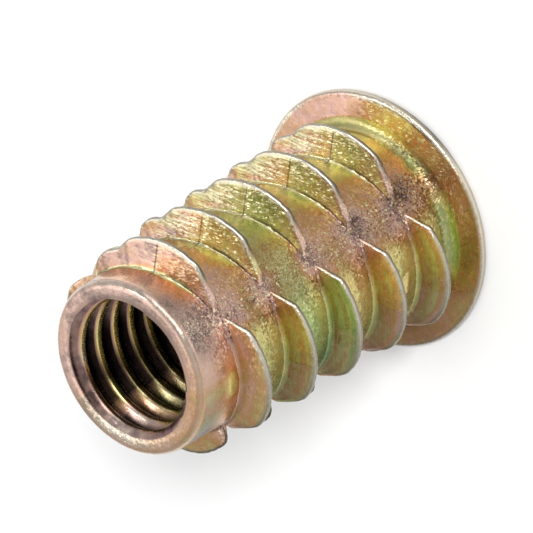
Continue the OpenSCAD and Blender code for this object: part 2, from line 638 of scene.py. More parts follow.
@dataclass(frozen=True)
class MachineThread:
    """The screw thread in the bore: right-hand, with flat crests and rounded roots.

    Attributes:
        pitch: Rise in one turn.
        crest_r: Radius of the bore at the thread's crests.
        root_r: Radius at its roots.
        first_crest: Depth of the first crest below the tip face, on the thread's seam.
        mouth_r: Radius of the chamfer in the tip face.
        mouth_flare: Widening with depth of the cone that covers the grooves at the mouth.
    """

    pitch: float = 1.25
    crest_r: float = 3.4
    root_r: float = 3.98
    first_crest: float = 0.6
    mouth_r: float = 3.72
    mouth_flare: float = 0.85

    def section(self) -> np.ndarray:
        """Profile over one pitch as rows of (height from a crest, radius), tip side first.

        Returns:
            Rows of height and radius.
        """
        root = self.root_r
        crest = self.crest_r
        return np.array(
            [
                [0.26, crest + 0.19],
                [0.17, crest + 0.04],
                [0.08, crest],
                [-0.08, crest],
                [-0.17, crest + 0.04],
                [-0.44, root - 0.08],
                [-0.54, root],
                [-0.71, root],
                [-0.81, root - 0.08],
            ]
        )


@dataclass(frozen=True)
class BlemishAndLightSpot:
    """A small swelling, pit or stain on the body, or a patch of painted light or shade:
    an oval bell in angle and height.

    Attributes:
        angle: Angle from the front parting line in degrees.
        z: Height above the flange face.
        half_angle: Half its length round the body in degrees.
        half_height: Half its height.
        rise: How far its middle stands out, or sinks in below zero.
        film: Change of the film's hue at its middle.
        shade: Light lost at its middle, as a share, or gained below zero.
    """

    angle: float
    z: float
    half_angle: float
    half_height: float
    rise: float = 0.0
    film: float = 0.0
    shade: float = 0.0

    def weight(self, from_front: np.ndarray, z: np.ndarray) -> np.ndarray:
        """Share of the spot at a place: exp(-(u^4)), u its distance in half sizes."""
        u = np.hypot((from_front - self.angle) / self.half_angle, (z - self.z) / self.half_height)
        return np.exp(-(u**4))


# The first is a pit, whose shade is painted shade in its hollow, and the next two are blisters. The
# others have no rise: a patch of painted shade, and patches of painted light where shade is below
# zero.
BLEMISHES_AND_LIGHT_SPOTS = (
    BlemishAndLightSpot(angle=-4.3, z=14.83, half_angle=2.3, half_height=0.17, rise=-0.09, shade=0.45),
    BlemishAndLightSpot(angle=-45.0, z=17.6, half_angle=10.0, half_height=0.42, rise=0.06, film=0.3, shade=0.1),
    BlemishAndLightSpot(angle=-48.0, z=4.05, half_angle=8.0, half_height=0.26, rise=0.07, film=-0.2),
    BlemishAndLightSpot(angle=8.0, z=2.4, half_angle=9.0, half_height=0.9, film=-0.1, shade=0.36),
    BlemishAndLightSpot(angle=-41.0, z=10.95, half_angle=20.0, half_height=0.9, shade=-0.22),
    BlemishAndLightSpot(angle=-14.0, z=3.0, half_angle=7.0, half_height=0.5, film=0.15, shade=-0.25),
    BlemishAndLightSpot(angle=-21.0, z=2.2, half_angle=13.0, half_height=0.8, film=0.12, shade=-0.14),
    BlemishAndLightSpot(angle=-3.5, z=3.2, half_angle=2.6, half_height=0.25, film=0.15, shade=-0.25),
)


def around(from_front: np.ndarray, stops: tuple) -> np.ndarray:
    """Value at each angle, run straight between (angle, value) stops and closed on itself."""
    angles, values = zip(*stops)
    return np.interp(from_front, angles, values, period=360.0)


@dataclass(frozen=True)
class PatinaAndPaintedLight:
    """How the chromate film, the worn zinc, the cast grain and the painted light and shade
    lie over the skin.

    A film value runs from 0, mauve, through pink, salmon, gold and yellow to 1, green.
    A tuple over turns or grooves starts at the flange, and one over slides is in the order
    of Slide. Stops are pairs of an angle from the front parting line and a value. Every light,
    shade and loss below is painted light or shade.

    Attributes:
        witness_at: Angle of the faint line that the cutter left on the left lobes.
        far_root: Film at the foot of the left tip flanks past that line, for each turn.
        far_crest: Film at their crest, for each turn.
        near: Film on the same flanks between that line and the front, for each turn.
        right: Film on the right tip flanks, for each turn.
        streaks: Change of the film on them up from their foot, for each turn.
        grooves: Film in the grooves, for each slide and each groove.
        notch_film: Film where two lobes meet at a parting line.
        parting_film: Film along the rest of a parting line, for each groove.
        notch_shade: Light left at the parting lines, at the flange and at the tip.
        neck: Heights at which the bare neck next to the tip begins and is reached.
        flange_light: Stops of the light gained in the groove next to the flange.
        low_edge_rows: Rows of the profile round its lower edge, which hides from the light.
        low_edge_loss: Light lost at each of those rows.
        left_light: Stops of the light left in the left grooves.
        right_light: Stops of the light left in the right grooves.
        flank_light: Stops of the light left on the right tip flanks.
        neck_light: Stops of the change of that light next to the tip.
        neck_film: Film stops next to the tip.
        back_film: Film stops on the flange's back.
        back_shade: Stops of the light left there.
        rim_start: Stops of the height on the rim's shoulder below which it is worn bright.
        fillet_film: Film stops on the fillet.
        fillet_light: Stops of the light left on the fillet.
        mouth_light: Stops of the light left on the bore's chamfer.
        bore_crest: Stops of the light left on the bore's crests.
        bore_flank: Stops of the light left on the flanks between them.
        rim_light: Stops of the light left on the flange's rim.
        ring_light: Stops of the light left on the tip's ring.
        crest_light: Stops of the light left on the wood thread's crest.
        foot_light: Stops of the light left at the foot of the left tip flanks.
        upper_light: Stops of the light left on the upper part of the same flanks.
        ring_film: Film stops on the tip's ring.
        ring_wear: Wear stops on the tip's ring.
    """

    witness_at: float = 45.5
    far_root: tuple = (0.22, 0.36, 0.4, 0.18, 0.12)
    far_crest: tuple = (0.62, 0.76, 0.72, 0.5, 0.08)
    near: tuple = (0.62, 0.64, 0.64, 0.56, 0.28)
    right: tuple = (0.4, 0.38, 0.6, 0.42, 0.32)
    streaks: tuple = (
        (0.0, -0.05, 0.1, 0.16, -0.02, -0.12),
        (0.0, 0.1, 0.02, 0.1, -0.04, -0.12),
        (0.0, -0.1, 0.04, -0.06, 0.2, 0.26),
        (0.0, 0.04, 0.12, 0.0, 0.12, 0.04),
        (0.0, 0.1, 0.02, 0.12, 0.16, 0.1),
    )
    grooves: tuple = (
        (0.5, 0.5, 0.6, 0.55, 0.5, 0.3),
        (0.85, 0.74, 0.68, 0.98, 0.72, 0.34),
        (0.62, 0.56, 0.5, 0.7, 0.48, 0.22),
        (0.5, 0.6, 0.5, 0.62, 0.4, 0.2),
    )
    notch_film: float = 0.02
    parting_film: tuple = (0.4, 0.42, 0.45, 0.62, 0.44, 0.24)
    notch_shade: tuple = (0.54, 0.56)
    neck: tuple = (17.6, 18.6)
    flange_light: tuple = (
        (-50.0, 0.3), (-12.0, 0.25), (4.0, 0.0), (14.0, -0.12), (26.0, -0.1), (38.0, 0.6),
        (48.0, 1.3), (60.0, 1.1),
    )
    low_edge_rows: tuple = (10, 12, 15, 17)
    low_edge_loss: tuple = (0.0, 0.72, 0.62, 0.0)
    left_light: tuple = (
        (0.0, 0.6), (12.0, 0.44), (20.0, 0.34), (27.0, 0.4), (38.0, 0.72), (52.0, 1.08),
        (78.0, 0.97),
    )
    right_light: tuple = (
        (-80.0, 0.74), (-60.0, 1.0), (-40.0, 1.2), (-24.0, 1.32), (-12.0, 0.96), (0.0, 1.1),
    )
    flank_light: tuple = ((-80.0, 0.5), (-50.0, 0.76), (-30.0, 0.98), (-10.0, 0.98))
    neck_light: tuple = (
        (-80.0, 0.24), (-68.0, 0.3), (-55.0, 0.47), (-24.0, 0.68), (-13.0, 0.8), (-5.0, 0.98),
        (3.0, 0.88), (12.0, 0.74), (24.0, 0.7), (38.0, 1.06), (60.0, 1.2),
    )
    neck_film: tuple = (
        (-80.0, 0.46), (-64.0, 0.58), (-54.0, 0.4), (-44.0, 0.5), (-30.0, 0.2), (-10.0, 0.1),
        (12.0, 0.12), (30.0, 0.26), (50.0, 0.24), (75.0, 0.3),
    )
    back_film: tuple = (
        (-150.0, 0.45), (-110.0, 0.38), (-80.0, 0.34), (-60.0, 0.44), (-40.0, 0.36),
        (-10.0, 0.36), (15.0, 0.47), (40.0, 0.48), (52.0, 0.34), (64.0, 0.22), (90.0, 0.24),
        (140.0, 0.5),
    )
    back_shade: tuple = (
        (-120.0, 0.5), (-100.0, 0.5), (-80.0, 0.62), (-60.0, 0.74), (-40.0, 0.84),
        (-20.0, 0.74), (0.0, 0.86), (15.0, 1.55), (28.0, 1.62), (38.0, 1.35), (52.0, 1.05),
        (80.0, 0.93), (110.0, 1.08), (180.0, 1.0),
    )
    rim_start: tuple = (
        (-60.0, 0.56), (0.0, 0.54), (12.0, 0.59), (24.0, 0.64), (50.0, 0.64), (62.0, 0.58),
        (84.0, 0.58), (105.0, 0.68), (150.0, 0.64),
    )
    fillet_film: tuple = (
        (-120.0, 0.6), (-75.0, 0.48), (-60.0, 0.52), (-45.0, 0.86), (-15.0, 0.86), (0.0, 0.6),
        (12.0, 0.78), (27.0, 0.66), (44.0, 0.6), (75.0, 0.6), (150.0, 0.55),
    )
    fillet_light: tuple = (
        (-80.0, 0.62), (-60.0, 0.62), (-40.0, 0.98), (0.0, 0.92), (12.0, 0.22), (28.0, 0.28),
        (40.0, 0.95), (58.0, 0.86), (75.0, 0.68),
    )
    mouth_light: tuple = (
        (-180.0, 0.34), (-172.0, 0.24), (-158.0, 0.5), (-142.0, 1.0), (-128.0, 0.85),
        (-112.0, 0.66), (-60.0, 1.5), (60.0, 1.45), (100.0, 0.88), (130.0, 0.52), (150.0, 0.66),
        (172.0, 0.5),
    )
    bore_crest: tuple = (
        (-180.0, 0.16), (-160.0, 0.12), (-151.0, 0.9), (-130.0, 0.95), (-105.0, 1.1),
        (-75.0, 1.2), (75.0, 1.9), (105.0, 1.6), (135.0, 2.8), (158.0, 1.6), (172.0, 0.4),
    )
    bore_flank: tuple = (
        (-180.0, 0.06), (-160.0, 0.06), (-152.0, 0.85), (-138.0, 1.08), (-126.0, 0.76),
        (-105.0, 0.45), (-80.0, 0.95), (75.0, 1.35), (105.0, 1.15), (128.0, 0.5), (148.0, 0.05),
    )
    rim_light: tuple = (
        (-100.0, 0.42), (-60.0, 0.72), (-30.0, 1.0), (-5.0, 1.12), (3.0, 0.9), (14.0, 0.43),
        (32.0, 0.6), (50.0, 0.84), (80.0, 0.95), (110.0, 1.45),
    )
    ring_light: tuple = (
        (-175.0, 0.8), (-147.0, 1.06), (-120.0, 0.98), (-60.0, 1.08), (-20.0, 1.02),
        (5.0, 0.74), (16.0, 0.68), (25.0, 0.72), (48.0, 0.92), (90.0, 1.16), (130.0, 1.24),
        (165.0, 1.1),
    )
    crest_light: tuple = (
        (-120.0, 0.3), (-84.0, 0.24), (-60.0, 0.58), (-32.0, 1.12), (-12.0, 1.5), (5.0, 1.05),
        (18.0, 1.1), (31.0, 0.98), (50.0, 0.82), (90.0, 0.82), (108.0, 1.6),
    )
    foot_light: tuple = (
        (5.0, 1.62), (14.0, 1.45), (22.0, 1.2), (42.0, 1.18), (50.0, 1.4), (58.0, 1.12),
        (66.0, 0.97), (75.0, 0.77), (88.0, 1.1), (108.0, 1.4),
    )
    upper_light: tuple = (
        (5.0, 1.0), (20.0, 0.93), (31.0, 0.82), (40.0, 0.78), (48.0, 1.02), (56.0, 0.88),
        (62.0, 0.81), (75.0, 0.75), (88.0, 1.0), (108.0, 1.4),
    )
    ring_film: tuple = (
        (-147.0, 0.3), (-90.0, 0.34), (-42.0, 0.34), (0.0, 0.2), (45.0, 0.12), (150.0, 0.14),
    )
    ring_wear: tuple = (
        (-180.0, 0.8), (-147.0, 0.95), (-110.0, 0.8), (-50.0, 0.35), (0.0, 0.8), (60.0, 0.9),
        (90.0, 0.6),
    )

    def blemish_and_light_marks(self, from_front: np.ndarray, z: np.ndarray, marks: dict) -> dict:
        """Change the film and the painted shade where the spots lie.

        Args:
            from_front: Angle of each column from the front.
            z: Height of each vertex.
            marks: Value of each mark.

        Returns:
            The marks with film and shade changed.
        """
        film, shade = marks[Mark.FILM], marks[Mark.SHADE]
        for blemish_and_light in BLEMISHES_AND_LIGHT_SPOTS:
            weight = blemish_and_light.weight(from_front, z)
            film = film + blemish_and_light.film * weight
            shade = shade * (1.0 - blemish_and_light.shade * weight)
        return {**marks, Mark.FILM: film, Mark.SHADE: shade}

    def body(self, places: Places) -> dict:
        """Marks on the body and its wood thread.

        Args:
            places: Where the vertices lie.

        Returns:
            Value of each mark, as turns by rows by columns.
        """
        marks = {
            Mark.FILM: self.body_film(places),
            Mark.WEAR: np.maximum(self.body_wear(places), 0.35 * places.bead),
            Mark.GRAIN: self.body_grain(places),
            Mark.STRIPE: self.body_stripe(places),
            Mark.SHADE: self.body_shade(places),
        }
        return self.blemish_and_light_marks(places.from_front, places.z, marks)

    def past_witness(self, from_front: np.ndarray) -> np.ndarray:
        """0 before the cutter's witness line and 1 past it."""
        return smooth(self.witness_at - 1.0, self.witness_at + 1.5, from_front)

    def flank_film(self, places: Places) -> np.ndarray:
        """Film on the tip flanks: two tones on the left, streaks up from the foot on the right.

        Args:
            places: Where the vertices lie.

        Returns:
            Film of each vertex, as if all were flank.
        """
        index, up, from_front = places.index, places.up, places.from_front
        far = mix(np.array(self.far_root)[index], np.array(self.far_crest)[index], up**1.3)
        left = mix(np.array(self.near)[index] + 0.05 * up, far, self.past_witness(from_front))
        right = np.array(self.right)[index]
        right = right + np.array(self.streaks)[index, np.clip(up * 6.0, 0.0, 5.0).astype(int)]
        right = mix(right, Hue.GOLD.value, 0.6 * smooth(-56.0, -74.0, from_front))
        film = np.where(places.on(Slide.LEFT), left, np.where(places.on(Slide.BACK), far, right))
        return mix(film, Hue.ROSE.value, 0.7 * smooth(76.0, 84.0, from_front))

    def groove_film(self, places: Places) -> np.ndarray:
        """Film in the grooves: olive above the lobes' roots, pinker beside the front.

        Args:
            places: Where the vertices lie.

        Returns:
            Film of each vertex, as if all were groove.
        """
        from_front, left = places.from_front, places.on(Slide.LEFT)
        film = np.array(self.grooves)[places.wood.slide(places.turn), places.groove]
        olive = places.over_root * smooth(0.85, 0.1, places.from_root) * smooth(0.0, 0.5, places.tall)
        olive = olive * np.where(left, bump_at(38.0, 17.0, from_front), 1.0)
        film = mix(film, np.where(left, Hue.OLIVE.value, film), 0.85 * olive)
        cooler = 0.16 * smooth(-55.0, -80.0, from_front) - 0.3 * smooth(-26.0, -8.0, from_front)
        browner = -0.2 * smooth(34.0, 16.0, from_front) * (1.0 - olive)
        return film + np.where(places.on(Slide.RIGHT), cooler, np.where(left, browner, 0.0))

    def body_film(self, places: Places) -> np.ndarray:
        """Film on the whole body: flanks and grooves, with the parting lines over them.

        Args:
            places: Where the vertices lie.

        Returns:
            Film of each vertex.
        """
        groove, flank, z = self.groove_film(places), self.flank_film(places), places.z
        film = np.where(places.tip_flank, flank, groove)
        film = np.where(places.crest, mix(groove, flank, 0.5), film)
        film = mix(film, np.array(self.parting_film)[places.groove], places.notch * 0.8)
        spot = mix(self.notch_film, self.notch_film + 0.08, smooth(5.0, 14.0, z)) + 0.04 * places.up
        film = mix(film, spot, places.burnt)
        at_neck = smooth(*self.neck, z) * (1.0 - 0.6 * places.burnt)
        film = mix(film, around(places.from_front, self.neck_film), at_neck)
        fourth = places.index == Turn.FOURTH.value
        film = mix(film, np.where(fourth, Hue.LIME.value, Hue.ROSE.value), 0.8 * places.ramp)
        return mix(film, Hue.YELLOW.value, 0.9 * places.bead)

    def groove_shade(self, places: Places) -> np.ndarray:
        """Painted light and shade in the grooves, with the neck's, the flange's and the fourth
        turn's own.

        Args:
            places: Where the vertices lie.

        Returns:
            Share of light at each vertex, as if all were groove.
        """
        from_front, z, right = places.from_front, places.z, places.on(Slide.RIGHT)
        clear = np.where(places.over_root, smooth(0.5, 1.2, places.from_root), 1.0)
        right_light = around(from_front, self.right_light)
        shade = np.where(places.on(Slide.LEFT), around(from_front, self.left_light), right_light)
        shade = shade * np.where(right, np.where(places.over_root, 1.1, 0.97), 1.0)
        shade = mix(shade, mix(*self.notch_shade, z / places.wood.length), places.notch)
        by_root, by_lobe = bump_at(-3.0, 6.0, from_front), bump_at(-10.0, 9.0, from_front)
        beside = mix(0.24 * by_root, -0.18 * by_lobe, clear)
        upper = -0.14 * bump_at(15.0, 2.2, z) * clear * bump_at(-30.0, 14.0, from_front)
        shade = shade * np.where(right, 1.0 + beside + upper, 1.0)
        shade = shade * mix(1.0, around(from_front, self.neck_light), smooth(*self.neck, z))
        shade = shade * (1.0 + smooth(3.4, 2.4, z) * around(from_front, self.flange_light))
        fourth = bump_at(13.2, 2.2, z - places.wood.pitch * from_front / 360.0) * (from_front > -18.0)
        return shade * (1.0 - 0.22 * fourth)

    def flank_shade(self, places: Places) -> np.ndarray:
        """Painted light and shade on the tip flanks, where the last two turns differ from the rest.

        Args:
            places: Where the vertices lie.

        Returns:
            Share of light at each vertex, as if all were flank.
        """
        from_front, up, index = places.from_front, places.up, places.index
        last, fourth = index == Turn.TIP.value, index == Turn.FOURTH.value
        right = mix(0.92, 1.14, smooth(0.35, 0.9, up)) * around(from_front, self.flank_light)
        right = np.where(last, 0.64 + 0.62 * right, right)
        low_crest = smooth(0.5, 0.8, up) * bump_at(-18.0, 16.0, from_front)
        right = np.where(fourth, right * (1.0 - 0.24 * low_crest), right)
        foot, upper = around(from_front, self.foot_light), around(from_front, self.upper_light)
        left = mix(foot, upper, smooth(0.3, 0.8, up))
        left = left * np.where(fourth, mix(1.2, 0.93, smooth(46.0, 60.0, from_front)), 1.0)
        # Painted light on the tip turn's left flank, dimmer past the witness line
        pale = 1.0 + 0.2 * bump_at(50.0, 5.0, from_front) - 0.08 * smooth(62.0, 70.0, from_front)
        pale = pale * mix(1.0, 0.76, self.past_witness(from_front))
        return np.where(places.on(Slide.RIGHT), right, np.where(last, pale, left))

    def body_shade(self, places: Places) -> np.ndarray:
        """Painted light and shade on the whole body, less in the corners and under the crests.

        Args:
            places: Where the vertices lie.

        Returns:
            Share of light at each vertex.
        """
        from_front, up, tall, ramp = places.from_front, places.up, places.tall, places.ramp
        flank = mix(self.flank_shade(places), 1.1, 0.5 * places.notch)
        shade = np.where(places.tip_flank, flank, self.groove_shade(places))
        shade = np.where(places.crest, around(from_front, self.crest_light), shade)
        shade = shade * mix(1.0, mix(0.76, 1.0, smooth(6.0, 16.0, places.z)), places.burnt)
        # The bright ramp at each lobe's lower end takes no painted shade
        shade = mix(shade, 1.0, ramp)
        # Painted shade in the crease at the foot of the tip flanks and in the roots, but not on the
        # left lobes
        foot = (places.band == Band.TIP_FLANK.value) * 0.4 * smooth(0.3, 0.0, up)
        foot = foot + (places.band == Band.ROOT.value) * 0.25
        foot = foot * ~places.on(Slide.LEFT) * smooth(0.2, 0.8, tall)
        rows = np.arange(len(places.wood.bands))[None, :, None]
        low_edge = np.interp(rows, self.low_edge_rows, self.low_edge_loss)
        low_edge = low_edge * smooth(0.3, 0.6, tall) * (1.0 - 0.7 * ramp)
        # Painted shade under the lobes' lower ends near -84 degrees, and on the first turn near -118
        under = 1.4 * bump_at(-118.0, 16.0, from_front) * (places.index == Turn.FLANGE.value)
        under = np.maximum(under, bump_at(-84.0, 11.0, from_front))
        under = under * smooth(0.3, 0.8, up) * smooth(0.3, 0.8, tall)
        return shade * (1.0 - foot) * (1.0 - low_edge) * (1.0 - 0.46 * under)

    def body_wear(self, places: Places) -> np.ndarray:
        """Bare zinc along the crests and at the tip, and zinc colour as painted sheen on a band
        of the left flanks.

        Args:
            places: Where the vertices lie.

        Returns:
            Share of bare zinc at each vertex.
        """
        from_front, up = places.from_front, places.up
        at, span = places.wood.lobe(places.turn)
        arched = mix(0.2, 1.0, smooth(14.0, 24.0, at)) * mix(1.0, 0.45, smooth(14.0, 4.0, span - at))
        edge = places.crest | (places.band == Band.LOW_EDGE.value) & (up > 0.8)
        wear = np.where(edge, 0.9, 0.0) * arched * smooth(0.1, 0.4, places.tall)
        wear = wear * mix(0.7, 1.0, smooth(-66.0, -40.0, from_front))
        tip = 0.25 * smooth(18.2, 19.4, places.z)
        wear = wear + tip * mix(0.2, 1.0, smooth(-66.0, -46.0, from_front))
        # Painted sheen: zinc colour brightens a band of the left tip flanks near 54 degrees
        painted_sheen = bump_at(54.0, 13.0, from_front) * places.tip_flank * places.on(Slide.LEFT)
        high = mix(0.5, 0.2, smooth(0.2, 0.9, up))
        return wear + painted_sheen * np.where(places.index == Turn.TIP.value, 0.0, high)

    def body_grain(self, places: Places) -> np.ndarray:
        """Grain of the die: strong at the parting lines and on the left tip flanks.

        Args:
            places: Where the vertices lie.

        Returns:
            Strength of the grain at each vertex.
        """
        left = mix(0.85, 0.35, self.past_witness(places.from_front))
        flank = np.where(places.on(Slide.LEFT), left, 0.22)
        grain = np.maximum(np.where(places.tip_flank, flank, 0.16), places.notch)
        return grain * (1.0 - 0.5 * smooth(16.5, 18.5, places.z) * (1.0 - places.notch))

    def body_stripe(self, places: Places) -> np.ndarray:
        """Cutter marks on the left tip flanks past the witness line, and that line itself.

        Args:
            places: Where the vertices lie.

        Returns:
            Strength of the marks at each vertex.
        """
        from_front, left = places.from_front, places.on(Slide.LEFT)
        marked = mix(0.12, 1.0, self.past_witness(from_front))
        stripe = np.where(left | places.on(Slide.BACK), marked, 0.1)
        stripe = stripe * (1.0 - 0.85 * smooth(74.0, 80.0, from_front) * left)
        stripe = stripe * np.where(places.index == Turn.TIP.value, 0.15, 1.0)
        stroke = bump_at(self.witness_at + 0.5, 1.6, from_front)
        below = 0.8 * places.over_root * smooth(0.55, 0.2, places.from_root)
        witness = np.maximum(np.where(places.tip_flank, smooth(1.05, 0.8, places.up), 0.0), below)
        return np.maximum(np.where(places.tip_flank, stripe, 0.0), stroke * witness)

    def rim(self, from_front: np.ndarray, z: np.ndarray) -> dict:
        """Marks on the flange's rim at heights z: worn bright but for its upper shoulder, with
        painted light and shade.

        Args:
            from_front: Angle of each column from the front.
            z: Height of each row.

        Returns:
            Value of each mark.
        """
        light = around(from_front, self.rim_light)
        # Painted highlight near the upper shoulder round 30 degrees
        light = light + 0.22 * bump_at(30.0, 18.0, from_front) * smooth(0.42, 0.52, z)
        start = around(from_front, self.rim_start)
        worn = smooth(start + 0.03, start - 0.03, z)
        # Painted shade on the lower rim
        lower_rim_shade = smooth(0.42, 0.3, z)
        return {
            Mark.FILM: around(from_front, self.back_film) + 0.1 * bump_at(-20.0, 14.0, from_front),
            Mark.WEAR: 0.9 * worn,
            Mark.GRAIN: 0.25,
            Mark.SHADE: mix(around(from_front, self.back_shade), light, worn) * mix(1.0, 0.7, lower_rim_shade),
        }

    def back(self, from_front: np.ndarray) -> dict:
        """Marks on the flange's back.

        Args:
            from_front: Angle of each column from the front.

        Returns:
            Value of each mark.
        """
        gold = smooth(-45.0, -15.0, from_front) * smooth(60.0, 42.0, from_front)
        return {
            Mark.FILM: around(from_front, self.back_film),
            Mark.GRAIN: 0.07 + 0.6 * gold,
            Mark.SHADE: around(from_front, self.back_shade),
        }

    def fillet(self, from_front: np.ndarray, rows: int) -> dict:
        """Marks on the fillet, from the flange inwards, darker where a parting line runs down it.

        Args:
            from_front: Angle of each column from the front.
            rows: Number of rows from the flange to the body.

        Returns:
            Value of each mark.
        """
        inward = np.linspace(0.0, 1.0, rows)[:, None]
        notch = bump_at(1.0, 10.0, from_front)
        # Painted highlight: the outer part near 25 degrees is lit brighter, in straw yellow
        outer = smooth(0.5, 0.2, inward) * bump_at(25.0, 16.0, from_front)
        film = mix(around(from_front, self.fillet_film), self.notch_film, 0.6 * notch)
        light = mix(around(from_front, self.fillet_light), 1.5, outer)
        return {
            Mark.FILM: mix(film, Hue.STRAW.value, outer),
            Mark.GRAIN: np.maximum(0.95 * notch, 0.1 + 0.4 * bump_at(0.0, 50.0, from_front)),
            Mark.SHADE: mix(light, 0.5, notch),
        }

    def ring(self, from_front: np.ndarray, rows: int) -> dict:
        """Marks on the tip's rounded edge and ring, from the body inwards.

        The edge is worn bright, and so is the ring's inner side low down. Painted shade
        darkens the outer side, the front and the low inner side.

        Args:
            from_front: Angle of each column from the front.
            rows: Number of rows from the body to the bore's mouth.

        Returns:
            Value of each mark.
        """
        inward = np.linspace(0.0, 1.0, rows)[:, None]
        edge = bump_at(0.36, 0.12, inward)
        inner = smooth(0.74, 0.9, inward)
        low = bump_at(-147.0, 40.0, from_front) * inner
        # Painted shade on the outer side, the front and the low inner side
        outer_loss = 0.34 * bump_at(0.1, 0.14, inward) * smooth(2.0, 8.0, np.abs(from_front + 4.0))
        front_loss = 0.56 * bump_at(16.0, 15.0, from_front) * (inward < 0.5)
        low_loss = 0.16 * bump_at(-156.0, 30.0, from_front) * smooth(0.5, 0.7, inward) * (1.0 - inner)
        loss = np.maximum(np.maximum(outer_loss, front_loss), low_loss)
        wear = around(from_front, self.ring_wear) * mix(mix(0.26, 0.95, low), 1.0, edge)
        return {
            Mark.FILM: around(from_front, self.ring_film),
            Mark.WEAR: np.clip(wear, 0.0, 1.0),
            Mark.GRAIN: 0.1 + 0.6 * low,
            Mark.SHADE: around(from_front, self.ring_light) * (1.0 - loss),
        }

    def bore(
        self, machine: MachineThread, share: np.ndarray, radius: np.ndarray, depth: np.ndarray
    ) -> dict:
        """Marks in the bore: roots painted near black as shade, crests and flanks painted light
        by angle.

        The lit stretch of each turn is looked up a few degrees on from its own place, as
        the thread winds away from the mouth.

        Args:
            machine: The thread in the bore, for its two radii.
            share: Share of a turn at each column.
            radius: Distance of each vertex from the axis.
            depth: Its depth below the tip face, in the same form.

        Returns:
            Value of each mark.
        """
        from_front = 360.0 * share - 180.0
        mouth = smooth(0.75, 0.45, depth)
        mouth_light = around(from_front, self.mouth_light)
        mouth_film = mix(0.1, 0.02, bump_at(-180.0, 80.0, from_front))
        drift = mix(5.0, 0.8 * np.clip(depth - 1.5, 0.0, 5.0), smooth(1.9, 4.4, depth))
        from_front = from_front + drift
        low = bump_at(-132.0, 24.0, from_front)
        flank = smooth(machine.crest_r + 0.02, machine.crest_r + 0.1, radius)
        lit = mix(around(from_front, self.bore_crest), around(from_front, self.bore_flank), flank)
        fade = mix(1.0, 0.75, smooth(1.5, 6.0, depth))
        lit = lit * mix(fade, mix(1.0, 0.5, smooth(2.2, 4.4, depth)), low)
        lit = lit * (1.0 + 2.0 * smooth(1.9, 1.0, depth) * bump_at(160.0, 16.0, from_front))
        lit = lit + 0.6 * smooth(2.2, 1.6, depth) * bump_at(-165.0, 9.0, from_front) * (1.0 - flank)
        start = machine.crest_r + mix(0.16, 0.28, low)
        root = smooth(start, start + 0.14, radius) * (1.0 - mouth)
        high_film = mix(0.64, 0.08, flank * (1.0 - low))
        low_film = mix(0.1, 0.56, smooth(1.8, 3.4, depth + 0.5 * (1.0 - flank)))
        film = mix(high_film, low_film, smooth(0.2, 0.8, low))
        return {
            Mark.FILM: mix(film, mouth_film, mouth * (1.0 - 0.5 * low)),
            # The bare zinc on the lit stretch is painted sheen; the shade is painted light by angle,
            # with painted shade in the roots
            Mark.WEAR: 0.35 * low * (1.0 - root),
            Mark.GRAIN: 0.06,
            Mark.SHADE: mix(lit, mouth_light, mouth) * mix(1.0, 0.04, root),
        }


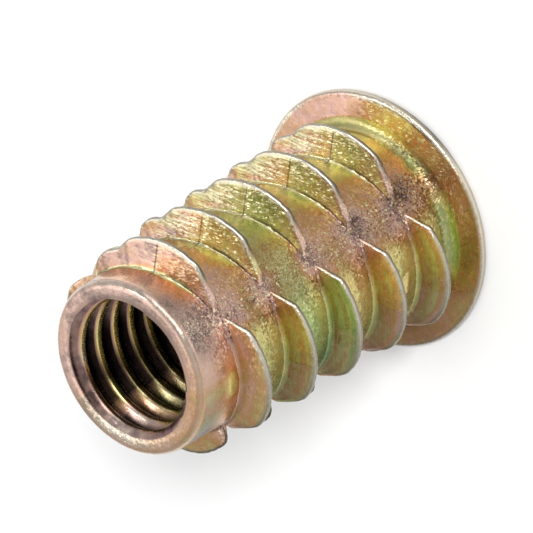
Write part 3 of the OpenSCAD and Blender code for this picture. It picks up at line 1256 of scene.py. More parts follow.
@dataclass
class Casting:
    """The whole casting as one closed skin that stands for the solid.

    Attributes:
        length: Length from the flange face to the tip face.
        flange_r: Radius over the flange's rim.
        flange_t: Thickness of the flange at its rim.
        face_r: Radius of the rim's shoulder at the flange's face.
        shoulder_r: Radius of the rim's shoulder on the flange's back.
        back_rise: Rise of the flange's back from the rim to the fillet.
        fillet_r: Radius of the fillet between the flange and the body.
        tip_round: Radius of the tip's outer edge.
        hex_r: Half the width across the flats of the drive socket.
        hex_depth: Depth of the drive socket.
        edge_break: Width of the broken edge round the socket's mouth.
        bead_rise: Height of the flash beads at the roots of the left lobes.
        sides: The columns of vertices round the insert.
        wood: The coarse outer thread.
        machine: The thread in the bore.
        patina_and_light: How the finish and the painted light and shade lie over the skin.
    """

    length: float
    flange_r: float
    flange_t: float = 0.6
    face_r: float = 0.36
    shoulder_r: float = 0.22
    back_rise: float = 0.1
    fillet_r: float = 0.55
    tip_round: float = 0.4
    hex_r: float = 4.0
    hex_depth: float = 5.5
    edge_break: float = 0.12
    bead_rise: float = 0.035
    sides: Sides = field(default_factory=Sides)
    wood: WoodThread = field(default_factory=WoodThread)
    machine: MachineThread = field(default_factory=MachineThread)
    patina_and_light: PatinaAndPaintedLight = field(default_factory=PatinaAndPaintedLight)

    def hexagon(self) -> np.ndarray:
        """Distance from the axis to the socket's wall: a flat's distance over its angle's cosine."""
        sector = np.mod(self.sides.angle, math.pi / 3.0) - math.pi / 6.0
        return self.hex_r / np.cos(sector)

    def flange_face(self) -> Patch:
        """The flat face that the insert stands on, from the socket's edge to the rim.

        Returns:
            The patch, in three rows.
        """
        inner = self.hexagon() + self.edge_break
        outer = self.flange_r - self.face_r
        share = np.array([0.0, 0.4, 0.8])[:, None]
        radius = inner[None] + (outer - inner[None]) * share
        marks = {Mark.FILM: 0.5, Mark.WEAR: 0.15, Mark.GRAIN: 0.35, Mark.SHADE: 1.0}
        return Patch(radius, np.zeros_like(radius)).marked(marks)

    def rim(self) -> Patch:
        """The flange's rim: a wide shoulder at the face and a smaller one at the back.

        Returns:
            The patch, from the face to the back.
        """
        wide, small = self.face_r, self.shoulder_r
        face_side = arc((self.flange_r - wide, wide), wide, -90, 0, 7)
        back_side = arc((self.flange_r - small, self.flange_t - small), small, 0, 90, 8)
        profile = np.concatenate([face_side, back_side])
        return self.sides.ring(profile).marked(self.patina_and_light.rim(self.sides.from_front, profile[:, 1:]))

    def fillet_top(self) -> float:
        """Height at which the fillet meets the body."""
        return self.flange_t + self.back_rise + self.fillet_r

    def back(self) -> Patch:
        """The flange's back, a shallow cone from the rim to the fillet.

        Returns:
            The patch, without its two ends.
        """
        start = np.array([self.flange_r - self.shoulder_r, self.flange_t])
        end_z = self.flange_t + self.back_rise
        end = np.array([self.wood.core(self.fillet_top()) + self.fillet_r, end_z])
        share = np.array([0.12, 0.3, 0.5, 0.7, 0.88])[:, None]
        patch = self.sides.ring(start + (end - start) * share)
        return patch.marked(self.patina_and_light.back(self.sides.from_front))

    def fillet(self) -> Patch:
        """The fillet, pushed out where the first lobes' flanks run down into it.

        Returns:
            The patch, a quarter circle carried round.
        """
        top = self.fillet_top()
        centre = (self.wood.core(top) + self.fillet_r, top)
        patch = self.sides.ring(arc(centre, self.fillet_r, -90, -180, 10))
        patch.radius = np.maximum(patch.radius, self.flank_r(patch.height))
        return patch.marked(self.patina_and_light.fillet(self.sides.from_front, len(patch.radius)))

    def flank_r(self, height: np.ndarray) -> np.ndarray:
        """Radius that the first turn's flange-side flank reaches at a height.

        Args:
            height: Height above the flange face, in rows.

        Returns:
            Radius for each row and column.
        """
        turn = self.sides.share[None]
        below = self.wood.centre(turn) - self.wood.crest_land(turn) / 2.0 - height
        slope = math.tan(math.radians(self.wood.flange_flank))
        return self.wood.core(height) + self.wood.crest(turn) - below / slope

    def body(self) -> Patch:
        """The body with its wood thread, from the fillet to the tip's rounded edge.

        Each turn's profile follows the helix, so that crest and feet lie on rows of their
        own. Rows that would pass either end are held at it and merge there.

        Returns:
            The patch, with all turns one above the other.
        """
        low, high = self.fillet_top(), self.length - self.tip_round
        count = int(math.ceil(self.wood.turns))
        turn = np.arange(-1, count + 1)[:, None] + self.sides.share[None]
        along, above = (part.transpose(1, 0, 2) for part in self.wood.section(turn))
        turn = turn[:, None]
        height = self.wood.centre(turn) + along
        up = above / np.maximum(self.wood.crest(turn), 0.05)
        from_front = self.sides.from_front
        for blemish_and_light in BLEMISHES_AND_LIGHT_SPOTS:
            above = above + blemish_and_light.rise * blemish_and_light.weight(from_front, height) * (up < 0.2)
        above = above + self.beads(Places(self.wood, turn, up, height))
        radius = self.wood.core(np.clip(height, low, high)) + above
        floor = np.maximum(self.wood.core(low), self.flank_r(np.full((1, 1), low)))[None]
        radius = np.where(height <= low, floor, radius)
        radius = np.where(height >= high, self.wood.core(high), radius)
        height = np.clip(height, low, high)
        marks = self.patina_and_light.body(Places(self.wood, turn, up, height))
        rows = (-1, self.sides.columns + 1)
        for mark, value in marks.items():
            marks[mark] = np.broadcast_to(value, height.shape).reshape(rows)
        return Patch(radius.reshape(rows), height.reshape(rows)).marked(marks)

    def beads(self, places: Places) -> np.ndarray:
        """Rise of the thin, broken line of flash along the roots of the left lobes.

        Args:
            places: Where the vertices lie.

        Returns:
            Rise for each turn, row and column.
        """
        row = np.zeros(len(self.wood.bands))
        row[np.flatnonzero(self.wood.bands == Band.ROOT.value)[1:3]] = 1.0
        broken = np.maximum(along_arc(places.turn, self.wood.core_base_r, 0.3, 21) + 0.35, 0.0)
        return self.bead_rise * broken * places.bead * row[None, :, None]

    def tip(self) -> Patch:
        """The tip's rounded edge and its flat ring, as far as the bore's mouth.

        Returns:
            The patch, from the body to the mouth.
        """
        z = self.length - self.tip_round
        edge = arc((self.wood.core(z) - self.tip_round, z), self.tip_round, 0, 90, 8)
        mouth = self.machine.mouth_r
        inner = np.array([[mouth + 0.3, self.length], [mouth + 0.05, self.length]])
        profile = np.concatenate([edge, inner])
        return self.sides.ring(profile).marked(self.patina_and_light.ring(self.sides.from_front, len(profile)))

    def bore(self) -> Patch:
        """The mouth's chamfer and the machine thread, down to the socket's floor.

        The thread's profile follows its own helix. Near the mouth its grooves are held
        inside a cone that widens downwards, so the mouth itself stays round. Below the
        mouth every other column is moved onto its neighbour and merges with it, because
        the bore is small and mostly hidden.

        Returns:
            The patch, from the mouth downwards.
        """
        top, low = self.length - 0.04, self.hex_depth
        section = self.machine.section()
        pitch = self.machine.pitch
        count = int(math.ceil((top - low) / pitch)) + 2
        share = self.sides.share
        column = np.arange(len(share))
        share = share[column - column % 2]
        turn = share[None] - np.arange(-2, count)[:, None]
        crest = self.length - self.machine.first_crest + pitch * (turn - 1.0)
        height = (crest[:, None] + section[None, :, :1]).reshape(-1, len(share))
        radius = np.broadcast_to(section[None, :, 1:], (len(turn), len(section), len(share)))
        radius = radius.reshape(height.shape)
        depth = self.length - height
        cone = self.machine.mouth_r - depth
        cover = self.machine.mouth_r + self.machine.mouth_flare * depth
        radius = np.minimum(np.maximum(radius, cone), np.maximum(cover, self.machine.crest_r))
        radius = np.where(height >= top, self.machine.mouth_r, radius)
        radius = np.where(height <= low, self.machine.crest_r, radius)
        height = np.clip(height, low, top)
        marks = self.patina_and_light.bore(self.machine, share, radius, self.length - height)
        return Patch(radius, height, halved=True).marked(marks)

    def socket(self) -> Patch:
        """The socket's floor and its six walls, up to the broken edge at the flange face.

        Returns:
            The patch, from the floor to the mouth.
        """
        wall = self.hexagon()[None]
        floor = self.machine.crest_r + 0.25
        radius = np.concatenate([floor + 0 * wall, wall - 0.08, wall, wall, wall, wall])
        depth = self.hex_depth
        steps = np.array([depth, depth, depth - 0.08, depth * 0.6, depth * 0.25, self.edge_break])
        # Painted shade: the socket is darkened to 0.85
        marks = {Mark.FILM: 0.45, Mark.WEAR: 0.1, Mark.GRAIN: 0.25, Mark.SHADE: 0.85}
        return Patch(radius, steps[:, None] + 0 * radius).marked(marks)

    def skin(self) -> tuple:
        """Join all the patches into one closed skin.

        Returns:
            Vertices in millimetres, triangles that index them, and the marks per vertex.
        """
        face = self.flange_face()
        close = Patch(face.radius[:1], face.height[:1])
        close.marked({mark: values[:1] for mark, values in face.marks.items()})
        patches = [face, self.rim(), self.back(), self.fillet(), self.body(), self.tip()]
        patches += [self.bore(), self.socket(), close]
        radius = np.concatenate([p.radius for p in patches])
        height = np.concatenate([p.height for p in patches])
        angle = self.column_angles(patches)
        grid = np.stack([radius * np.cos(angle), radius * np.sin(angle), height], axis=-1)
        points, faces, first = weld(grid)
        marks = {mark: np.concatenate([p.read(mark) for p in patches]).ravel()[first] for mark in Mark}
        slide = np.broadcast_to(self.wood.slide(self.sides.share), radius.shape).ravel()[first]
        marks.update(self.slide_places(points, slide))
        return points, faces, marks

    def column_angles(self, patches: list) -> np.ndarray:
        """Angle of each vertex: its column's, or its left neighbour's where columns merge.

        Args:
            patches: The patches in order.

        Returns:
            Angles in radians, rows by columns.
        """
        own = self.sides.angle
        column = np.arange(len(own))
        merged = own[column - column % 2]
        angles = []
        for patch in patches:
            inside = patch.halved & (np.arange(len(patch.radius)) > 0)
            angles.append(np.where(inside[:, None], merged, own))
        return np.concatenate(angles)

    def slide_places(self, points: np.ndarray, slide: np.ndarray) -> dict:
        """Distances along each slide's draw and across it, in millimetres.

        Args:
            points: Vertices in millimetres.
            slide: Slide of each.

        Returns:
            The marks DRAW and ALONG.
        """
        edges = np.array(self.wood.partings)
        middle = np.radians(360.0 * (edges[1:] + edges[:-1]) / 2.0 - 180.0)[slide]
        draw = np.stack([np.sin(middle), -np.cos(middle)], axis=-1)
        across = np.stack([np.cos(middle), np.sin(middle)], axis=-1)
        flat = points[:, :2]
        return {Mark.DRAW: (flat * draw).sum(1), Mark.ALONG: (flat * across).sum(1)}

    def build(self) -> bpy.types.Object:
        """Make the casting's piece: a smooth-shaded mesh with its marks and its finish.

        Returns:
            The piece, on its body and in its slot, in place of the plain solid.
        """
        points, faces, marks = self.skin()
        mesh = bpy.data.meshes.new("casting_skin")
        mesh.from_pydata((points * MM).tolist(), [], faces.tolist())
        mesh.shade_smooth()
        mesh.set_sharp_from_angle(angle=math.radians(SHARP_ANGLE))
        for mark, values in marks.items():
            layer = mesh.attributes.new(mark.value, "FLOAT", "POINT")
            layer.data.foreach_set("value", values.astype(np.float32))
        mesh.materials.append(ChromatedZinc().build())
        insert = linked("casting_skin", mesh)
        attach(insert, BODY)
        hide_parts(NODE)
        return insert


def weld(grid: np.ndarray) -> tuple:
    """Turn a grid of rows and columns into triangles and merge the points that coincide.

    The last column repeats the first, so it is given the first one's points. Places are
    rounded to a small step before they are compared.

    Args:
        grid: Points in millimetres, rows by columns by 3.

    Returns:
        Merged points, triangles that index them with none collapsed, and for each merged
        point its place in the flattened grid.
    """
    rows, columns = grid.shape[:2]
    flat = grid.reshape(-1, 3)
    key = np.round(flat * WELD_STEPS).astype(np.int64)
    _, first, same = np.unique(key, axis=0, return_index=True, return_inverse=True)
    same = same.reshape(rows, columns)
    a, b = same[:-1, :-1].ravel(), same[1:, :-1].ravel()
    c, d = same[1:, 1:].ravel(), same[:-1, 1:].ravel()
    faces = np.concatenate([np.stack([a, d, c], 1), np.stack([a, c, b], 1)])
    keep = (faces[:, 0] != faces[:, 1]) & (faces[:, 1] != faces[:, 2]) & (faces[:, 0] != faces[:, 2])
    return flat[first], faces[keep], first


def linked(name: str, data: bpy.types.ID) -> bpy.types.Object:
    """Make an object from its mesh, light or camera and link it to the scene.

    Args:
        name: Name of the object.
        data: What it shows.

    Returns:
        The object.
    """
    item = bpy.data.objects.new(name, data)
    bpy.context.scene.collection.objects.link(item)
    return item


# ---- Finish ----


def linear(code: str) -> tuple:
    """Turn an sRGB hex colour into linear red, green, blue and alpha.

    Each channel c becomes c/12.92 up to 0.04045 and ((c+0.055)/1.055)^2.4 above it.

    Args:
        code: The colour, as a hash and six hex digits.

    Returns:
        Four numbers, with alpha 1.
    """
    parts = [int(code[i : i + 2], 16) / 255.0 for i in (1, 3, 5)]
    channels = [c / 12.92 if c <= 0.04045 else ((c + 0.055) / 1.055) ** 2.4 for c in parts]
    return (*channels, 1.0)


def add(tree: Tree, kind: str, inputs: dict | None = None, **settings: object) -> bpy.types.Node:
    """Add a node to a tree.

    Args:
        tree: The tree that takes the node.
        kind: The node's type, without its "ShaderNode" prefix.
        inputs: For each input, by name or number, the socket to link or the value to set.
        settings: Properties of the node.

    Returns:
        The new node.
    """
    node = tree.nodes.new("ShaderNode" + kind)
    for name, value in settings.items():
        setattr(node, name, value)
    for key, value in (inputs or {}).items():
        if isinstance(value, Socket):
            tree.links.new(value, node.inputs[key])
        else:
            node.inputs[key].default_value = value
    return node


def empty_tree(owner: bpy.types.ID) -> Tree:
    """Switch a material or the world to nodes and clear those that it came with.

    Args:
        owner: The material or world.

    Returns:
        Its empty tree.
    """
    owner.use_nodes = True
    owner.node_tree.nodes.clear()
    return owner.node_tree


@dataclass(frozen=True)
class ChromatedZinc:
    """Die-cast zinc alloy with a yellow chromate conversion coat.

    The coat is a thin clear film, so its colour changes with its thickness from mauve
    through pink and gold to green. Edges are worn to bright zinc, and the die's own grain
    and cutter marks show through, which gives glitter in the notches and fine straight
    lines on the flanks. The base colour also carries the painted light and shade of the shade
    mark, and painted glints on the grain and cutter marks.

    Attributes:
        film: Colours of the film with their places on the film's scale.
        zinc: Colour of bare, worn zinc.
        painted_glint: Colour of the glints painted on the grain and cutter marks.
        sheen_cell: Size of the patches in which the film's thickness drifts.
        grain_cell: Size of the die's grain; real grain is about half as coarse.
        facet: Size of a grain's facet across the draw, along the draw and along the height.
        line_gap: Distance between cutter marks.
        line_run: Length of a cutter mark.
        grain_depth: Depth of the grain.
        line_depth: Depth of the cutter marks.
        wave_depth: Depth of the casting's slow unevenness.
        facet_tilt: Lean of the grain's facets, as the length added to the normal.
        witness_at: Place of the cutter's witness line across its slide.
        witness_width: Half the width of that line.
        witness_loss: Light lost at its middle.
        pit_loss: Range of light between the grain's pits and points.
        hue_drift: Range of film from the sheen, the blotches, the grain and the cutter marks.
        grain_flash: Noise at which a painted glint on a facet starts and is strongest.
        line_flash: The same for a cutter mark.
        flash: Strength of both painted glints.
        matt: Roughness of the smooth film.
        matt_drift: Range of roughness over the blotches.
        matt_grain: Roughness added by the grain.
        matt_wear: Roughness taken off by wear.
    """

    film: tuple = (
        (0.0, "#8f6b70"),
        (0.07, "#ab8d84"),
        (0.16, "#deb4a8"),
        (0.28, "#daae92"),
        (0.38, "#d19f70"),
        (0.47, "#c6a970"),
        (0.6, "#d6ca88"),
        (0.78, "#b5ba7c"),
        (1.0, "#93aa76"),
    )
    zinc: str = "#dad3c2"
    painted_glint: str = "#f3e9bd"
    sheen_cell: float = 1.6
    grain_cell: float = 0.12
    facet: tuple = (0.15, 0.07, 0.1)
    line_gap: float = 0.12
    line_run: float = 3.2
    grain_depth: float = 0.035
    line_depth: float = 0.025
    wave_depth: float = 0.02
    facet_tilt: float = 0.65
    witness_at: float = -0.1
    witness_width: float = 0.085
    witness_loss: float = 0.75
    pit_loss: float = 0.95
    hue_drift: tuple = (0.42, 0.2, 0.45, 0.7)
    grain_flash: tuple = (0.72, 0.95)
    line_flash: tuple = (0.48, 0.58)
    flash: float = 0.9
    matt: float = 0.27
    matt_drift: float = 0.16
    matt_grain: float = 0.12
    matt_wear: float = 0.09

    def build(self) -> bpy.types.Material:
        """Make the material: film, wear, grain, lines, roughness, and painted light, shade and glints.

        Returns:
            The material.
        """
        material = bpy.data.materials.new("yellow_chromated_die_cast_zinc")
        tree = empty_tree(material)
        marks = {m: add(tree, "Attribute", attribute_name=m.value).outputs["Fac"] for m in Mark}
        where = add(tree, "TexCoord").outputs["Object"]
        place = add(tree, "Mapping", {"Vector": where, "Scale": (1.0 / MM,) * 3}).outputs[0]
        noises = {
            "sheen": self.noise(tree, place, self.sheen_cell, 2.0),
            "blotch": self.noise(tree, place, self.sheen_cell / 4.0, 2.0),
            "grain": self.noise(tree, place, self.grain_cell, 1.0),
            "fine": self.noise(tree, place, self.grain_cell / 2.0, 1.0),
            "wave": self.noise(tree, place, self.sheen_cell / 2.0, 1.0),
            "painted_glint": self.noise(tree, place, self.grain_cell * 0.8, 0.0),
        }
        lines = self.lines(tree, marks)
        facets = self.facets(tree, marks, where)
        colour = self.colour(tree, marks, noises, lines, facets)
        bare = self.bare(tree, marks, noises)
        coat = add(tree, "MixRGB", {0: bare, 1: colour, 2: linear(self.zinc)}).outputs[0]
        # The colour is multiplied by the painted light and shade
        dark = self.dark(tree, marks, noises)
        final = add(tree, "MixRGB", {0: 1.0, 1: coat, 2: dark}, blend_type="MULTIPLY").outputs[0]
        rough = self.roughness(tree, marks, noises)
        normal = self.glitter(tree, marks, facets, self.relief(tree, marks, noises, lines))
        inputs = {"Base Color": final, "Roughness": rough, "Normal": normal, "Metallic": 1.0}
        shader = add(tree, "BsdfPrincipled", inputs)
        add(tree, "OutputMaterial", {"Surface": shader.outputs[0]})
        return material

    def noise(self, tree: Tree, place: Socket, cell: float, detail: float) -> Socket:
        """Noise from 0 to 1 with cells of a size in millimetres."""
        inputs = {"Vector": place, "Scale": 1.0 / cell, "Detail": detail, "Roughness": 0.6}
        return add(tree, "TexNoise", inputs).outputs["Fac"]

    def lines(self, tree: Tree, marks: dict) -> Socket:
        """Cutter marks: noise drawn out across the slide's draw, from 0 to 1.

        Args:
            tree: The material's nodes.
            marks: Socket of each mark.

        Returns:
            Socket of the noise.
        """
        run = {0: marks[Mark.ALONG], 1: 1.0 / self.line_run}
        gap = {0: marks[Mark.DRAW], 1: 1.0 / self.line_gap}
        x = add(tree, "Math", run, operation="MULTIPLY").outputs[0]
        y = add(tree, "Math", gap, operation="MULTIPLY").outputs[0]
        place = add(tree, "CombineXYZ", {"X": x, "Y": y}).outputs[0]
        inputs = {"Vector": place, "Scale": 1.0, "Detail": 1.0, "Roughness": 0.5}
        return add(tree, "TexNoise", inputs).outputs["Fac"]

    def scaled(self, tree: Tree, noise: Socket, weight: Socket | float, reach: float) -> Socket:
        """A noise about 0, times a weight and a reach.

        Args:
            tree: The material's nodes.
            noise: Noise from 0 to 1.
            weight: Socket or number that it is multiplied by.
            reach: Its full range where the weight is 1.

        Returns:
            Socket of the product.
        """
        centred = add(tree, "Math", {0: noise, 1: 0.5}, operation="SUBTRACT").outputs[0]
        weighed = add(tree, "Math", {0: centred, 1: weight}, operation="MULTIPLY").outputs[0]
        return add(tree, "Math", {0: weighed, 1: reach}, operation="MULTIPLY").outputs[0]

    def total(self, tree: Tree, *parts: Socket | float) -> Socket:
        """Sum of several sockets or numbers.

        Args:
            tree: The material's nodes.
            parts: The sockets or numbers.

        Returns:
            Socket of the sum.
        """
        value = parts[0]
        for part in parts[1:]:
            value = add(tree, "Math", {0: value, 1: part}, operation="ADD").outputs[0]
        return value

    def colour(self, tree: Tree, marks: dict, noises: dict, lines: Socket, facets: Socket) -> Socket:
        """Colour of the film: its mark, shifted by drift, grain and cutter marks.

        Args:
            tree: The material's nodes.
            marks: Socket of each mark.
            noises: Socket of each noise.
            lines: The cutter marks.
            facets: The grain's facets.

        Returns:
            The colour, with painted glints on the grain and cutter marks.
        """
        sheen, blotch, grain, stripe = self.hue_drift
        hue = self.total(
            tree,
            marks[Mark.FILM],
            self.scaled(tree, noises["sheen"], 1.0, sheen),
            self.scaled(tree, noises["blotch"], 1.0, blotch),
            self.scaled(tree, noises["grain"], marks[Mark.GRAIN], grain),
            self.scaled(tree, lines, marks[Mark.STRIPE], stripe),
        )
        ramp = add(tree, "ValToRGB", {"Fac": hue})
        self.fill(ramp.color_ramp)
        bright = ramp.outputs["Color"]
        # Painted glints: the glint colour is mixed in where the facet or line noise is high
        facet = add(tree, "SeparateColor", {0: facets}).outputs[0]
        points = ((facet, Mark.GRAIN, self.grain_flash), (lines, Mark.STRIPE, self.line_flash))
        for noise, mark, (low, high) in points:
            inputs = {"Value": noise, "From Min": low, "From Max": high, "To Max": self.flash}
            point = add(tree, "MapRange", inputs).outputs[0]
            lit = add(tree, "Math", {0: point, 1: marks[mark]}, operation="MULTIPLY").outputs[0]
            bright = add(tree, "MixRGB", {0: lit, 1: bright, 2: linear(self.painted_glint)}).outputs[0]
        return bright

    def fill(self, ramp: bpy.types.ColorRamp) -> None:
        """Put the film's colours on a ramp.

        Args:
            ramp: The ramp that takes them.
        """
        stops = ramp.elements
        while len(stops) < len(self.film):
            stops.new(0.5)
        for stop, (place, code) in zip(stops, self.film):
            stop.position = place
            stop.color = linear(code)

    def bare(self, tree: Tree, marks: dict, noises: dict) -> Socket:
        """Share of bare zinc: the wear mark, broken up by grain.

        Args:
            tree: The material's nodes.
            marks: Socket of each mark.
            noises: Socket of each noise.

        Returns:
            Share from 0 to 1.
        """
        wear = marks[Mark.WEAR]
        broken = self.scaled(tree, noises["blotch"], 1.0, 0.9)
        fine = self.scaled(tree, noises["grain"], 1.0, 0.5)
        some = add(tree, "Math", {0: wear, 1: 2.0}, operation="MULTIPLY", use_clamp=True).outputs[0]
        both = {0: self.total(tree, broken, fine), 1: some}
        loose = add(tree, "Math", both, operation="MULTIPLY").outputs[0]
        return add(tree, "Math", {0: wear, 1: loose}, operation="ADD", use_clamp=True).outputs[0]

    def dark(self, tree: Tree, marks: dict, noises: dict) -> Socket:
        """Painted light left after the shade mark, the grain's pits and the witness line.

        Args:
            tree: The material's nodes.
            marks: Socket of each mark.
            noises: Socket of each noise.

        Returns:
            Share of light, 0 or more.
        """
        pits = self.scaled(tree, noises["fine"], marks[Mark.GRAIN], self.pit_loss)
        base = self.total(tree, marks[Mark.SHADE], pits)
        place = {0: marks[Mark.ALONG], 1: self.witness_at}
        off = add(tree, "Math", place, operation="SUBTRACT").outputs[0]
        near = add(tree, "Math", {0: off}, operation="ABSOLUTE").outputs[0]
        loss = {"To Min": self.witness_loss, "To Max": 0.0}
        inputs = {"Value": near, "From Max": self.witness_width, **loss}
        line = add(tree, "MapRange", inputs, interpolation_type="SMOOTHSTEP").outputs[0]
        here = add(tree, "Math", {0: line, 1: marks[Mark.STRIPE]}, operation="MULTIPLY").outputs[0]
        light = add(tree, "Math", {0: base, 1: here}, operation="SUBTRACT").outputs[0]
        return add(tree, "Math", {0: light, 1: 0.0}, operation="MAXIMUM").outputs[0]

    def roughness(self, tree: Tree, marks: dict, noises: dict) -> Socket:
        """Roughness: smooth in the grooves, duller where the grain is strong.

        Args:
            tree: The material's nodes.
            marks: Socket of each mark.
            noises: Socket of each noise.

        Returns:
            Socket of the roughness.
        """
        coarse = {0: marks[Mark.GRAIN], 1: self.matt_grain}
        grain = add(tree, "Math", coarse, operation="MULTIPLY").outputs[0]
        drift = self.scaled(tree, noises["blotch"], 1.0, self.matt_drift)
        rubbed = {0: marks[Mark.WEAR], 1: -self.matt_wear}
        worn = add(tree, "Math", rubbed, operation="MULTIPLY").outputs[0]
        return self.total(tree, self.matt, grain, drift, worn)

    def facets(self, tree: Tree, marks: dict, where: Socket) -> Socket:
        """A random colour for each facet of the grain, drawn out across the slide's draw.

        Args:
            tree: The material's nodes.
            marks: Socket of each mark.
            where: Object coordinates.

        Returns:
            The facet's colour.
        """
        wide, deep, tall = self.facet
        height = add(tree, "SeparateXYZ", {0: where}).outputs["Z"]
        axes = {
            "X": {0: marks[Mark.ALONG], 1: 1.0 / wide},
            "Y": {0: marks[Mark.DRAW], 1: 1.0 / deep},
            "Z": {0: height, 1: 1.0 / (tall * MM)},
        }
        cells = {
            axis: add(tree, "Math", inputs, operation="MULTIPLY").outputs[0]
            for axis, inputs in axes.items()
        }
        place = add(tree, "CombineXYZ", cells).outputs[0]
        return add(tree, "TexVoronoi", {"Vector": place, "Scale": 1.0}, feature="F1").outputs["Color"]

    def glitter(self, tree: Tree, marks: dict, facets: Socket, normal: Socket) -> Socket:
        """Tilt the normal at random in each facet of the grain, so that single grains flash.

        Args:
            tree: The material's nodes.
            marks: Socket of each mark.
            facets: The grain's facets.
            normal: The normal before the tilt.

        Returns:
            The tilted normal.
        """
        tilt = add(tree, "VectorMath", {0: facets, 1: (0.5,) * 3}, operation="SUBTRACT").outputs[0]
        strength = {0: marks[Mark.GRAIN], 1: self.facet_tilt}
        reach = add(tree, "Math", strength, operation="MULTIPLY").outputs[0]
        tilt = add(tree, "VectorMath", {0: tilt, "Scale": reach}, operation="SCALE").outputs[0]
        leant = add(tree, "VectorMath", {0: normal, 1: tilt}, operation="ADD").outputs[0]
        return add(tree, "VectorMath", {0: leant}, operation="NORMALIZE").outputs[0]

    def relief(self, tree: Tree, marks: dict, noises: dict, lines: Socket) -> Socket:
        """Bump in three layers: slow waves, the die's grain and the cutter marks.

        Args:
            tree: The material's nodes.
            marks: Socket of each mark.
            noises: Socket of each noise.
            lines: The cutter marks.

        Returns:
            The bumped normal.
        """
        grain = {0: noises["grain"], 1: marks[Mark.GRAIN]}
        cuts = {0: lines, 1: marks[Mark.STRIPE]}
        layers = (
            (noises["wave"], self.wave_depth),
            (add(tree, "Math", grain, operation="MULTIPLY").outputs[0], self.grain_depth),
            (add(tree, "Math", cuts, operation="MULTIPLY").outputs[0], self.line_depth),
        )
        normal = None
        for height, depth in layers:
            inputs = {"Height": height, "Strength": 1.0, "Distance": depth * MM}
            if normal is not None:
                inputs["Normal"] = normal
            normal = add(tree, "Bump", inputs).outputs[0]
        return normal


# ---- Floor, light and camera ----


@dataclass(frozen=True)
class Lamp:
    """A soft rectangular lamp that points at the insert.

    Attributes:
        name: Name of the lamp.
        toward: Direction from the insert to the lamp.
        distance: Distance from the insert in millimetres.
        side: Length of its side in millimetres.
        radiance: Brightness of its face, where 1 renders white.
        gloss: Whether the lamp shows in glossy reflections.
        matt: Whether the lamp lights matt surfaces.
    """

    name: str
    toward: tuple
    distance: float
    side: float
    radiance: float
    gloss: bool = True
    matt: bool = True

    def place(self) -> None:
        """Make the lamp; a face of radiance L and area A gives a power of pi L A."""
        data = bpy.data.lights.new(self.name, "AREA")
        data.size = self.side * MM
        data.energy = math.pi * self.radiance * (self.side * MM) ** 2
        lamp = linked(self.name, data)
        lamp.visible_glossy = self.gloss
        lamp.visible_diffuse = self.matt
        toward = Vector(self.toward).normalized()
        lamp.location = toward * self.distance * MM + Vector((0.0, 0.0, LIT_HEIGHT * MM))
        lamp.rotation_euler = toward.to_track_quat("Z", "Y").to_euler()


@dataclass(frozen=True)
class Panel:
    """A soft-edged round part of the room that is brighter or darker than the rest.

    Attributes:
        toward: Direction of its middle.
        outer: Angle from its middle at which it starts, in degrees.
        inner: Angle at which it has its full strength, in degrees.
        change: Brightness that it adds, or takes away below zero.
    """

    toward: tuple
    outer: float
    inner: float
    change: float


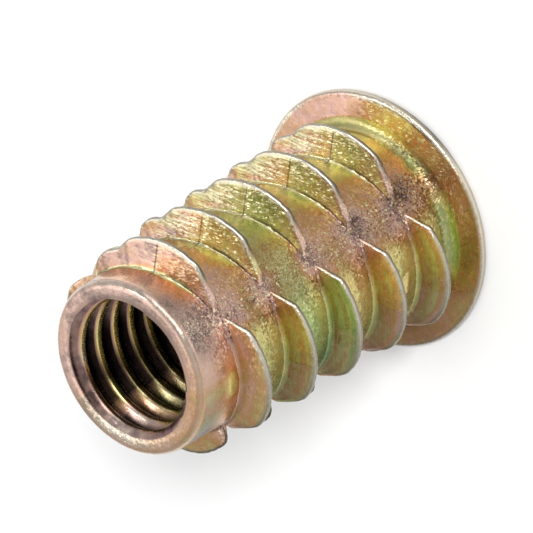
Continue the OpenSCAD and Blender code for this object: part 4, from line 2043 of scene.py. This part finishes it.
@dataclass(frozen=True)
class Studio:
    """A plain studio: a pale floor, an even room with a few soft panels, and soft lamps.

    Attributes:
        floor_side: Length of the floor's side in millimetres.
        floor_colour: Colour of the floor.
        sky: Brightness of the room.
        panels: Brighter and darker parts of the room.
        lamps: The lamps.
    """

    floor_side: float = 4000.0
    floor_colour: str = "#f2f2f2"
    sky: float = 0.78
    panels: tuple = (
        Panel((0.56, -0.8, 0.2), 34.0, 18.0, 2.2),
        Panel((0.3, 0.36, 0.88), 32.0, 10.0, 1.5),
        Panel((-0.5, 0.7, 0.5), 40.0, 15.0, -0.15),
    )
    lamps: tuple = (
        Lamp("key_lamp", (0.4, -0.8, 0.6), 400.0, 240.0, 4.0, matt=False),
        Lamp("edge_lamp", (0.6, 0.0, 0.8), 400.0, 80.0, 7.0, matt=False),
        Lamp("floor_lamp", (0.08, -0.73, 0.67), 400.0, 64.0, 84.0, gloss=False),
    )

    def floor(self) -> bpy.types.Object:
        """The floor, a large square under the insert.

        Returns:
            The floor's object.
        """
        half = self.floor_side / 2.0 * MM
        corners = [(-half, -half, 0.0), (half, -half, 0.0), (half, half, 0.0), (-half, half, 0.0)]
        mesh = bpy.data.meshes.new("floor")
        mesh.from_pydata(corners, [], [(0, 1, 2, 3)])
        item = linked("floor", mesh)
        # Matt white paper has no shine and shows the insert's shadow softly
        material = bpy.data.materials.new("matt_white_paper")
        tree = empty_tree(material)
        paper = add(tree, "BsdfDiffuse", {"Color": linear(self.floor_colour)})
        add(tree, "OutputMaterial", {"Surface": paper.outputs[0]})
        mesh.materials.append(material)
        return item

    def room(self) -> None:
        """The world: white to the camera, and to all else an even room with soft panels."""
        world = bpy.data.worlds.new("room")
        bpy.context.scene.world = world
        tree = empty_tree(world)
        way = add(tree, "TexCoord").outputs["Generated"]
        light = self.sky
        for panel in self.panels:
            toward = tuple(Vector(panel.toward).normalized())
            dot = add(tree, "VectorMath", {0: way, 1: toward}, operation="DOT_PRODUCT")
            low, high = (math.cos(math.radians(a)) for a in (panel.outer, panel.inner))
            edges = {"From Min": low, "From Max": high, "To Max": panel.change}
            inputs = {"Value": dot.outputs["Value"], **edges}
            part = add(tree, "MapRange", inputs, interpolation_type="SMOOTHSTEP").outputs[0]
            light = add(tree, "Math", {0: light, 1: part}, operation="ADD").outputs[0]
        seen = add(tree, "LightPath").outputs["Is Camera Ray"]
        strength = add(tree, "Mix", {0: seen, 2: light, 3: 1.0}, data_type="FLOAT").outputs[0]
        shader = add(tree, "Background", {"Strength": strength})
        add(tree, "OutputWorld", {"Surface": shader.outputs[0]})

    def build(self) -> None:
        """Set up the floor, the room and the lamps."""
        self.floor()
        self.room()
        for lamp in self.lamps:
            lamp.place()
        bpy.context.scene.view_settings.view_transform = "Standard"


@dataclass(frozen=True)
class View:
    """The main camera.

    Attributes:
        aim: Point that the camera looks at, in millimetres.
        elevation: Angle above the horizon in degrees, seen from the front.
        roll: Turn of the camera about its own view in degrees.
        distance: Distance from the aim in millimetres.
        lens: Focal length in millimetres on a 36 mm sensor.
    """

    aim: tuple = (0.752, -0.712, 9.146)
    elevation: float = 43.045
    roll: float = -121.445
    distance: float = 297.37
    lens: float = 402.58

    def axes(self) -> tuple:
        """The camera's own right, up and backward directions.

        Returns:
            Three unit vectors.
        """
        rise = math.radians(self.elevation)
        back = Vector((0.0, -math.cos(rise), math.sin(rise)))
        level = Vector((1.0, 0.0, 0.0))
        upright = back.cross(level)
        roll = math.radians(self.roll)
        right = math.cos(roll) * level + math.sin(roll) * upright
        up = -math.sin(roll) * level + math.cos(roll) * upright
        return right, up, back

    def place(self) -> bpy.types.Object:
        """Make the camera and set it as the scene's own.

        Returns:
            The camera.
        """
        data = bpy.data.cameras.new("camera")
        data.sensor_width = 36.0
        data.lens = self.lens
        data.clip_start, data.clip_end = 0.01, 10.0
        camera = linked("camera", data)
        right, up, back = self.axes()
        turn = Matrix((right, up, back)).transposed().to_4x4()
        spot = (Vector(self.aim) + back * self.distance) * MM
        camera.matrix_world = Matrix.Translation(spot) @ turn
        bpy.context.scene.camera = camera
        return camera


def main() -> None:
    """Build the insert, its studio and its camera, and report each piece."""
    logging.basicConfig(level=logging.INFO, format="%(name)s: %(message)s")
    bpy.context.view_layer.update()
    low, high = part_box(NODE)
    casting = Casting(length=high[2] / MM, flange_r=(high[0] - low[0]) / 2.0 / MM)
    skin = casting.build().data
    log.info("casting_skin: %d points, %d triangles", len(skin.vertices), len(skin.polygons))
    Studio().build()
    View().place()
    log.info("studio: floor, room, lamps and camera")


if __name__ == "__main__":
    main()
